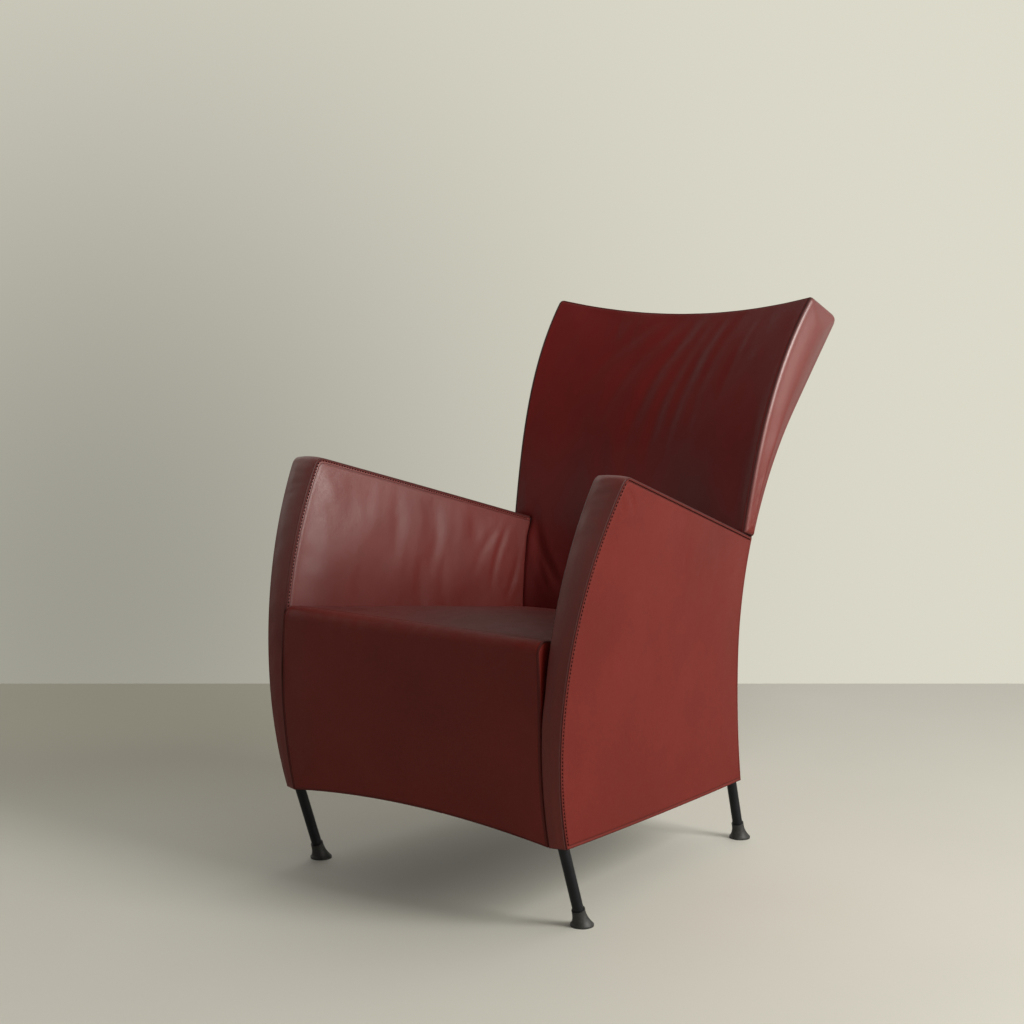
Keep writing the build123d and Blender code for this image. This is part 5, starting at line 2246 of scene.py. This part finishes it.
@dataclass(frozen=True)
class SteelFinish:
    """Painted or bare steel, with faint orange peel, dust and rubbed edges."""

    name: str
    base: Tone
    worn: Tone
    metallic: float
    roughness: float
    peel: float = 0.004
    coat: float = 0.0

    def make(self) -> bpy.types.Material:
        """Makes the material.

        Returns:
            The material.
        """
        tree = NodeTree.of_material(self.name)
        place = tree.place()
        dust = tree.noise(place, 0.05, 6, 0.6)
        scratch = tree.noise(tree.stretched(place, (1, 1, 0.12)), 0.003, 4, 0.7)
        tone = tree.blend(dust.ramp(0.4, 0.75) * 0.5, self.base, self.worn)
        rough = self.roughness + (dust - 0.5) * 0.22 + scratch.ramp(0.62, 0.8) * 0.12
        normal = tree.bump(tree.noise(place, self.peel, 2), 0.0004, 0.25)
        normal = tree.bump(scratch, 0.0001, 0.2, normal)
        return tree.finish(
            Base_Color=tone,
            Roughness=rough,
            Metallic=self.metallic,
            Normal=normal,
            Coat_Weight=self.coat,
            Coat_Roughness=0.25,
        )


@dataclass(frozen=True)
class PlasticFinish:
    """Moulded dark plastic with a fine spark texture and scuffs."""

    base: Tone = Tone(50, 50, 49)
    scuff: Tone = Tone(86, 85, 82)

    def make(self) -> bpy.types.Material:
        """Makes the material.

        Returns:
            The material.
        """
        tree = NodeTree.of_material(Slot.DARK_PLASTIC.value)
        place = tree.place()
        wear = tree.noise(place, 0.018, 7, 0.7)
        spark = tree.noise(place, 0.0009, 2)
        tone = tree.blend(wear.ramp(0.5, 0.72) * 0.6, self.base, self.scuff)
        return tree.finish(
            Base_Color=tone,
            Roughness=0.42 + wear * 0.2,
            Normal=tree.bump(spark, 0.0002, 0.4),
        )


@dataclass(frozen=True)
class BeechFinish:
    """Planed pale beech with long rings and short flecks."""

    early: Tone = Tone(206, 168, 124)
    late: Tone = Tone(168, 124, 82)

    def make(self) -> bpy.types.Material:
        """Makes the material.

        Returns:
            The material.
        """
        tree = NodeTree.of_material(Slot.BEECH.value)
        place = tree.place()
        rings = tree.noise(tree.stretched(place, (1, 0.14, 1)), 0.012, 4, 0.5)
        fleck = tree.noise(tree.stretched(place, (1, 0.3, 1)), 0.0016, 2)
        bands = (rings * 34).sine() * 0.5 + 0.5
        tone = tree.blend(bands * 0.6 + fleck.ramp(0.6, 0.75) * 0.3, self.early, self.late)
        return tree.finish(
            Base_Color=tone,
            Roughness=0.6 + bands * 0.1,
            Normal=tree.bump(bands + fleck * 0.4, 0.0003, 0.3),
        )


@dataclass(frozen=True)
class WovenFinish:
    """A plain weave, with its own pitch and colours."""

    name: str
    warp: Tone
    weft: Tone
    pitch: float
    stripe: Tone | None = None

    def make(self) -> bpy.types.Material:
        """Makes the material.

        Returns:
            The material.
        """
        tree = NodeTree.of_material(self.name)
        place = tree.place()
        parts = [
            tree.node("ShaderNodeSeparateXYZ", {"Vector": place}, output=axis) for axis in (0, 1, 2)
        ]
        turn = 2 * math.pi / self.pitch
        across = (parts[0] * turn).sine()
        along = ((parts[1] + parts[2]) * turn).sine()
        weave = across * along * 0.5 + 0.5
        slub = tree.noise(place, self.pitch * 6, 4, 0.6)
        tone = tree.blend(weave.ramp(0.2, 0.8), self.warp, self.weft)
        if self.stripe is not None:
            band = (parts[0] * (turn / 14)).sine().ramp(0.82, 0.9)
            tone = tree.blend(band, tone, self.stripe)
        tone = tree.blend(slub.ramp(0.45, 0.75) * 0.3, tone, self.warp)
        return tree.finish(
            Base_Color=tone,
            Roughness=0.88 + slub * 0.1,
            Normal=tree.bump(weave, self.pitch * 0.25, 0.6),
            Sheen_Weight=0.15,
            Sheen_Roughness=0.6,
        )


@dataclass(frozen=True)
class FloorFinish:
    """Pale smooth floor with hardly visible clouds, with painted shade on one side and a faint painted glow.

    Attributes:
        base: Its colour.
        cloud: The colour of its clouds.
        dusk: The colour of the painted shade on one side.
        dusk_place: Middle of that side, in x and y.
        dusk_reach: How far the painted shade reaches from there.
        glow: Strength of a painted glow in the floor's own colour, which lightens the chair's shadow and the
            shaded side.
        mirrored: A darker colour that the floor takes only in the chair's gloss, a painted shade in its
            reflections.
    """

    base: Tone = Tone(205, 204, 195)
    cloud: Tone = Tone(197, 196, 186)
    dusk: Tone = Tone(162, 160, 146)
    glow: float = 0.08
    dusk_place: tuple[float, float] = (-1.5, 0.55)
    dusk_reach: float = 1.10
    mirrored: Tone = Tone(120, 118, 110)

    def make(self) -> bpy.types.Material:
        """Makes the material.

        Returns:
            The material.
        """
        tree = NodeTree.of_material("pale_floor")
        place = tree.place()
        cloud = tree.noise(place, 0.6, 4, 0.5)
        x, y = (tree.node("ShaderNodeSeparateXYZ", {"Vector": place}, output=axis) for axis in (0, 1))
        far_x, far_y = (x - self.dusk_place[0]) / self.dusk_reach, (y - self.dusk_place[1]) / self.dusk_reach
        # Painted shade: the floor's colour darkens round a place off the chair's -X side and behind it.
        dusk = (1 - (far_x * far_x + far_y * far_y) * 0.5).clamp()
        tone = tree.blend(dusk * dusk * (3 - dusk * 2), tree.blend(cloud, self.base, self.cloud), self.dusk)
        # Painted shade in reflections: the chair's gloss sees the floor in the darker mirrored colour.
        gloss = tree.node("ShaderNodeLightPath", output="Is Glossy Ray")
        # Painted light: the floor glows faintly in its own colour, though it is no lamp.
        return tree.finish(
            Emission_Color=tone,
            Emission_Strength=self.glow,
            Base_Color=tree.blend(gloss, tone, self.mirrored),
            Roughness=0.6 + cloud * 0.1,
            Specular_IOR_Level=0.3,
        )


class Finishes:
    """Every material of the part, by slot."""

    def __init__(self) -> None:
        """Makes them once."""
        self.thread = ThreadFinish().make()
        self.leathers = {
            "arm_inner": LeatherFinish(roughness=0.48, specular=0.78, polish=0.20).make(),
            "back_inside": LeatherFinish(
                Tone(114, 27, 24), Tone(107, 23, 21), Tone(123, 34, 31),
                specular=0.30, polish=0.9, polished_from=(0.74, 0.44),
            ).make(),
            "side_band": LeatherFinish(
                roughness=0.42, specular=0.6, polish=1.0, polished_from=(0.62, 0.95)
            ).make(),
            "seat_cushion": LeatherFinish(roughness=0.52, specular=0.75).make(),
            "arm_band": LeatherFinish(specular=0.6, polish=1.0, polished_from=(0.40, 0.62)).make(),
        }
        self.by_slot = {
            Slot.LEATHER: LeatherFinish().make(),
            Slot.BLACK_STEEL: SteelFinish(
                Slot.BLACK_STEEL.value, Tone(11, 14, 20), Tone(25, 28, 35), 0.0, 0.42, coat=0.05
            ).make(),
            Slot.BARE_STEEL: SteelFinish(
                Slot.BARE_STEEL.value, Tone(150, 150, 152), Tone(104, 100, 96), 0.9, 0.38, peel=0.002
            ).make(),
            Slot.DARK_PLASTIC: PlasticFinish().make(),
            Slot.BEECH: BeechFinish().make(),
            Slot.WEBBING: WovenFinish(
                Slot.WEBBING.value, Tone(44, 42, 40), Tone(92, 88, 82), 0.0022, Tone(128, 48, 40)
            ).make(),
            Slot.LINING: WovenFinish(Slot.LINING.value, Tone(28, 27, 27), Tone(50, 48, 47), 0.0011).make(),
        }

    def coat(self, piece: bpy.types.Object, slot: Slot) -> None:
        """Gives a piece one finish all over."""
        piece.data.materials.clear()
        piece.data.materials.append(self.by_slot[slot])

    def dress(self, piece: bpy.types.Object) -> None:
        """Gives a piece of the upholstery its own leather, or the thread to stitching.

        Args:
            piece: The piece.
        """
        self.coat(piece, Slot.LEATHER)
        if "stitching" in piece.name:
            piece.data.materials[0] = self.thread
        for word, leather in self.leathers.items():
            if word in piece.name:
                piece.data.materials[0] = leather


# Legs and hidden frame


@dataclass
class Screw:
    """A pan-head screw with a cross recess, seen from its head's side.

    Attributes:
        radius: Radius of the head.
        height: Height of the head.
        recess: Half length of the cross.
        bar: Half width of the cross.
        sink: Depth of the cross.
        turns: Points round the head.
        inner_rings: First and last share of the radius, and number, of the rings by the cross.
        outer_rings: The same of the rings towards the rim.
        bar_room: How much wider than its bars the cross is cut.
        domed: Share of its squared height that the head loses at its rim.
    """

    radius: float = 0.0042
    height: float = 0.0022
    recess: float = 0.0026
    bar: float = 0.0005
    sink: float = 0.0012
    turns: int = 48
    inner_rings: tuple[float, float, int] = (0.08, 0.62, 9)
    outer_rings: tuple[float, float, int] = (0.7, 1.0, 5)
    bar_room: float = 0.0001
    domed: float = 0.82

    def build(self, name: str, place: Vector, normal: Vector) -> bpy.types.Object:
        """Builds one screw head that stands on a surface.

        Args:
            name: Name of the piece.
            place: The head's seat.
            normal: Direction it looks in.

        Returns:
            The piece.
        """
        side = normal.orthogonal().normalized()
        other = normal.cross(side)
        shares = np.concatenate([np.linspace(*self.inner_rings), np.linspace(*self.outer_rings)])
        rings = [(reach, self._dome(reach)) for reach in shares * self.radius] + [(self.radius, 0.0)]
        points = [tuple(place + normal * (self.height - self.sink))]
        for reach, rise in rings:
            for turn in range(self.turns):
                angle = 2 * math.pi * turn / self.turns
                a, b = reach * math.cos(angle), reach * math.sin(angle)
                in_cross = reach < self.recess and min(abs(a), abs(b)) < self.bar + self.bar_room
                drop = self.sink if in_cross else 0.0
                points.append(tuple(place + side * a + other * b + normal * (rise - drop)))
        faces: list[tuple[int, ...]] = []
        for turn in range(self.turns):
            after = (turn + 1) % self.turns
            faces.append((0, 1 + turn, 1 + after))
            for ring in range(len(rings) - 1):
                low, high = 1 + ring * self.turns, 1 + (ring + 1) * self.turns
                faces.append((low + turn, high + turn, high + after, low + after))
        last = 1 + (len(rings) - 1) * self.turns
        faces.append(tuple(last + turn for turn in reversed(range(self.turns))))
        piece = MeshMaker.make(name, np.array(points), faces)
        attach(piece, ROOT)
        return piece

    def _dome(self, reach: float) -> float:
        """Height of the domed head at a distance from its middle."""
        return self.height * math.sqrt(max(1 - (reach / self.radius) ** 2 * self.domed, 0.0))


@dataclass
class Legs:
    """The four tubular legs with their plates, caps and screws.

    Attributes:
        finishes: The part's materials.
        ends: Words of the front and the rear legs.
        screws: Screws of each plate.
        screw_inset: Distance of the screws from the plate's edges.
    """

    finishes: Finishes
    ends: tuple[str, ...] = ("front", "rear")
    screws: int = 4
    screw_inset: float = 0.011

    def build(self) -> list[bpy.types.Object]:
        """Gives the CAD legs their finishes and adds the plates' screws.

        Returns:
            The screws.
        """
        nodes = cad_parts
        made = []
        for end in self.ends:
            for side in Side:
                key = f"{end}_{side.word}"
                self.finishes.coat(nodes[f"leg_{key}"], Slot.BLACK_STEEL)
                self.finishes.coat(nodes[f"leg_plate_{key}"], Slot.BLACK_STEEL)
                self.finishes.coat(nodes[f"foot_cap_{key}"], Slot.DARK_PLASTIC)
                for name in ("leg", "leg_plate", "foot_cap"):
                    nodes[f"{name}_{key}"].data.shade_smooth()
                made += self._screws(key)
        return made

    def _screws(self, key: str) -> list[bpy.types.Object]:
        """Screws in the corners of one plate, heads down.

        Args:
            key: End and side of the plate.

        Returns:
            The screws.
        """
        low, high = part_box(f"leg_plate_{key}")
        made = []
        for number in range(self.screws):
            x = (low.x + self.screw_inset, high.x - self.screw_inset)[number % 2]
            y = (low.y + self.screw_inset, high.y - self.screw_inset)[number // 2]
            place = Vector((x, y, low.z))
            piece = Screw().build(f"leg_screw_{key}_{number + 1}", place, Vector((0, 0, -1)))
            self.finishes.coat(piece, Slot.BARE_STEEL)
            made.append(piece)
        return made


@dataclass
class HiddenFrame:
    """The frame inside the upholstery: it keeps its CAD forms and gets real finishes."""

    finishes: Finishes
    slots: dict[str, Slot] = field(default_factory=lambda: {
        "arm_shell": Slot.BEECH,
        "board": Slot.BEECH,
        "rail": Slot.BEECH,
        "corner_block": Slot.BEECH,
        "back_post": Slot.BARE_STEEL,
        "back_top_rail": Slot.BARE_STEEL,
        "webbing": Slot.WEBBING,
        "dust_cover": Slot.LINING,
    })

    def build(self) -> list[bpy.types.Object]:
        """Dresses every frame node that is still shown.

        Returns:
            The dressed pieces.
        """
        dressed = []
        for name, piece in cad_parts.items():
            match = [slot for part, slot in self.slots.items() if part in name]
            if match and not piece.hide_render:
                self.finishes.coat(piece, match[-1])
                dressed.append(piece)
        return dressed


# Setting


@dataclass(frozen=True)
class Bank:
    """A bright part of the room, as the chair's gloss reflects it.

    Attributes:
        heading: Unit direction of its middle.
        rim: How far along the heading a direction points at its rim.
        core: The same where it reaches its full brightness.
        strength: That brightness.
    """

    heading: tuple[float, float, float]
    rim: float
    core: float
    strength: float


@dataclass
class Studio:
    """Floor, world and lights.

    Attributes:
        reach: Distance from the middle to the floor's far edge.
        near: Distance to its other edges.
        heading: Turn of the floor about Z, in radians.
        wall: Colour of the wall.
        wall_lit: Brightness of the wall that the camera sees.
        wall_shade: How much darker it is where it is darkest, a painted shade on the wall.
        dark_spot: Where that is, across and up, as parts of the unit direction.
        shade_reach: How far the dark reaches from there.
        shade_width: Its width, as a share of its height.
        behind: Direction of the wall behind the chair.
        behind_from: How far along it the wall's light sets in and is full.
        high_from: The same for the room's light with height.
        room: Colour of the room's light.
        fill: Brightness of the room low in front of the chair, high there, and of the wall behind it.
        gloom: Brightness of the room in the gloss, away from the banks.
        banks: Its bright parts: the rear wall, the left wall, the front left and the lamp's side.
        key_place: Middle of the key light.
        key_size: Its width and height.
        key_power: Its watts.
        key_colour: Its colour.
        key_target: Where it looks.
    """

    reach: float = 1.42
    near: float = 6.0
    heading: float = PHOTO_AZIMUTH
    wall: Tone = Tone(255, 252, 234)
    wall_lit: float = 0.72
    wall_shade: float = 0.38
    dark_spot: tuple[float, float] = (-0.24, -0.155)
    shade_reach: float = 0.27
    shade_width: float = 0.8
    behind: tuple[float, float, float] = (0.30, 0.95, 0.05)
    behind_from: tuple[float, float] = (-0.35, 0.75)
    high_from: tuple[float, float] = (0.0, 0.5)
    room: Tone = Tone(255, 251, 242)
    fill: tuple[float, float, float] = (0.54, 0.06, 1.15)
    gloom: float = 0.05
    banks: tuple[Bank, ...] = (
        Bank((0.301, 0.953, 0.05), -0.10, 0.80, 0.42),
        Bank((-0.931, 0.10, 0.351), 0.84, 0.98, 0.9),
        Bank((-0.70, -0.70, 0.14), 0.60, 0.92, 0.20),
        Bank((0.987, 0.122, -0.102), 0.86, 0.97, 3.2),
    )
    key_place: tuple[float, float, float] = (3.2, 0.25, 2.15)
    key_size: tuple[float, float] = (1.3, 1.8)
    key_power: float = 102.0
    key_colour: tuple[float, float, float] = (1.0, 0.975, 0.93)
    key_target: tuple[float, float, float] = (0.0, 0.0, 0.5)

    def build(self) -> None:
        """Builds them all."""
        self._floor()
        self._world()
        self._key()

    def _floor(self) -> None:
        """The floor, whose far edge is level in the picture."""
        mesh = bpy.data.meshes.new("floor")
        near, reach = self.near, self.reach
        corners = ((-near, -near), (near, -near), (near, reach), (-near, reach))
        cosine, sine = math.cos(self.heading), math.sin(self.heading)
        turned = [(x * cosine - y * sine, x * sine + y * cosine, 0.0) for x, y in corners]
        mesh.from_pydata(turned, [], [(0, 1, 2, 3)])
        floor = bpy.data.objects.new("floor", mesh)
        bpy.context.scene.collection.objects.link(floor)
        mesh.materials.append(FloorFinish().make())

    def _world(self) -> None:
        """A pale wall for the camera with a painted shade low on its left, and a soft fill that is brighter
        from behind.
        """
        world = bpy.data.worlds.new("room")
        bpy.context.scene.world = world
        tree = NodeTree(world)
        way = tree.node("ShaderNodeTexCoord", output="Generated")
        right = (math.cos(self.heading), math.sin(self.heading), 0.0)
        # Painted shade: the wall that the camera sees darkens round a spot low on its left.
        across = self._along(tree, way, right) - self.dark_spot[0]
        up = (self._along(tree, way, (0.0, 0.0, 1.0)) - self.dark_spot[1]) * self.shade_width
        near = (across * across + up * up) * (-1 / self.shade_reach**2)
        shade = tree.node("ShaderNodeMath", {0: near}, operation="EXPONENT")
        wall = tree.node(
            "ShaderNodeBackground",
            {"Color": self.wall.colour, "Strength": self.wall_lit - shade * self.wall_shade},
        )
        behind = self._along(tree, way, self.behind).ramp(*self.behind_from)
        high = self._along(tree, way, (0.0, 0.0, 1.0)).ramp(*self.high_from)
        low_front, high_front, rear = self.fill
        front = low_front + high * (high_front - low_front)
        mirrored: Signal | float = self.gloom
        for bank in self.banks:
            share = self._along(tree, way, bank.heading).ramp(bank.rim, bank.core)
            mirrored = mirrored + share * bank.strength
        rooms = [
            tree.node("ShaderNodeBackground", {"Color": self.room.colour, "Strength": strength})
            for strength in (front + behind * (rear - front), mirrored)
        ]
        gloss = tree.node("ShaderNodeLightPath", output="Is Glossy Ray")
        seen = tree.node("ShaderNodeLightPath", output="Is Camera Ray")
        room = tree.node("ShaderNodeMixShader", {0: gloss, 1: rooms[0], 2: rooms[1]})
        tree.end("ShaderNodeOutputWorld", tree.node("ShaderNodeMixShader", {0: seen, 1: room, 2: wall}))

    @staticmethod
    def _along(tree: NodeTree, way: Signal, heading: tuple[float, float, float]) -> Signal:
        """How far a direction points along a fixed heading."""
        inputs = {0: way, 1: heading}
        return tree.node("ShaderNodeVectorMath", inputs, output="Value", operation="DOT_PRODUCT")

    def _key(self) -> None:
        """A large soft light that looks at the chair."""
        light = bpy.data.lights.new("key", "AREA")
        light.shape = "RECTANGLE"
        light.size, light.size_y = self.key_size
        light.energy = self.key_power
        light.color = self.key_colour
        lamp = bpy.data.objects.new("key", light)
        lamp.location = self.key_place
        look = Vector(self.key_target) - Vector(self.key_place)
        lamp.rotation_euler = look.to_track_quat("-Z", "Y").to_euler()
        bpy.context.scene.collection.objects.link(lamp)


@dataclass
class PhotoCamera:
    """The camera at the photograph's place.

    Attributes:
        place: Where it stands.
        azimuth: Its turn about Z, in radians.
        pitch: How far it looks down, in radians.
        lens: Focal length in millimetres.
        sensor: Width of its sensor in millimetres.
    """

    place: tuple[float, float, float] = (1.8267, -2.4994, 0.9316)
    azimuth: float = PHOTO_AZIMUTH
    pitch: float = 0.103996
    lens: float = 60.41
    sensor: float = 36.0

    def build(self) -> None:
        """Builds the camera and makes it the scene's."""
        camera = bpy.data.objects.new("photo_camera", bpy.data.cameras.new("photo_camera"))
        camera.location = self.place
        camera.rotation_euler = Euler((math.pi / 2 - self.pitch, 0, self.azimuth))
        camera.data.lens = self.lens
        camera.data.sensor_width = self.sensor
        bpy.context.scene.collection.objects.link(camera)
        bpy.context.scene.camera = camera


def report(group: str, made: Sequence[bpy.types.Object]) -> None:
    """Logs the pieces of a group."""
    for piece in made:
        LOG.info("%s: %s, %d faces", group, piece.name, len(piece.data.polygons))


def main() -> None:
    """Builds the armchair's looks, sub-assembly by sub-assembly."""
    logging.basicConfig(level=logging.INFO, format="%(message)s")
    PhotoCamera().build()
    finishes = Finishes()
    upholstery = {**{f"{side.word} arm": Arm(side) for side in Side}, "back": Back(), "seat": Seat()}
    panels = [panel for part in upholstery.values() for panel in part.panels]
    Inflation().run([panel for panel in panels if panel.billow_limit])
    groups = {word: part.build() for word, part in upholstery.items()}
    for made in groups.values():
        for piece in made:
            finishes.dress(piece)
    groups["legs"] = Legs(finishes).build()
    groups["frame"] = HiddenFrame(finishes).build()
    for group, made in groups.items():
        report(group, made)
    Studio().build()
    bpy.context.scene.view_settings.view_transform = "Standard"


if __name__ == "__main__":
    main()
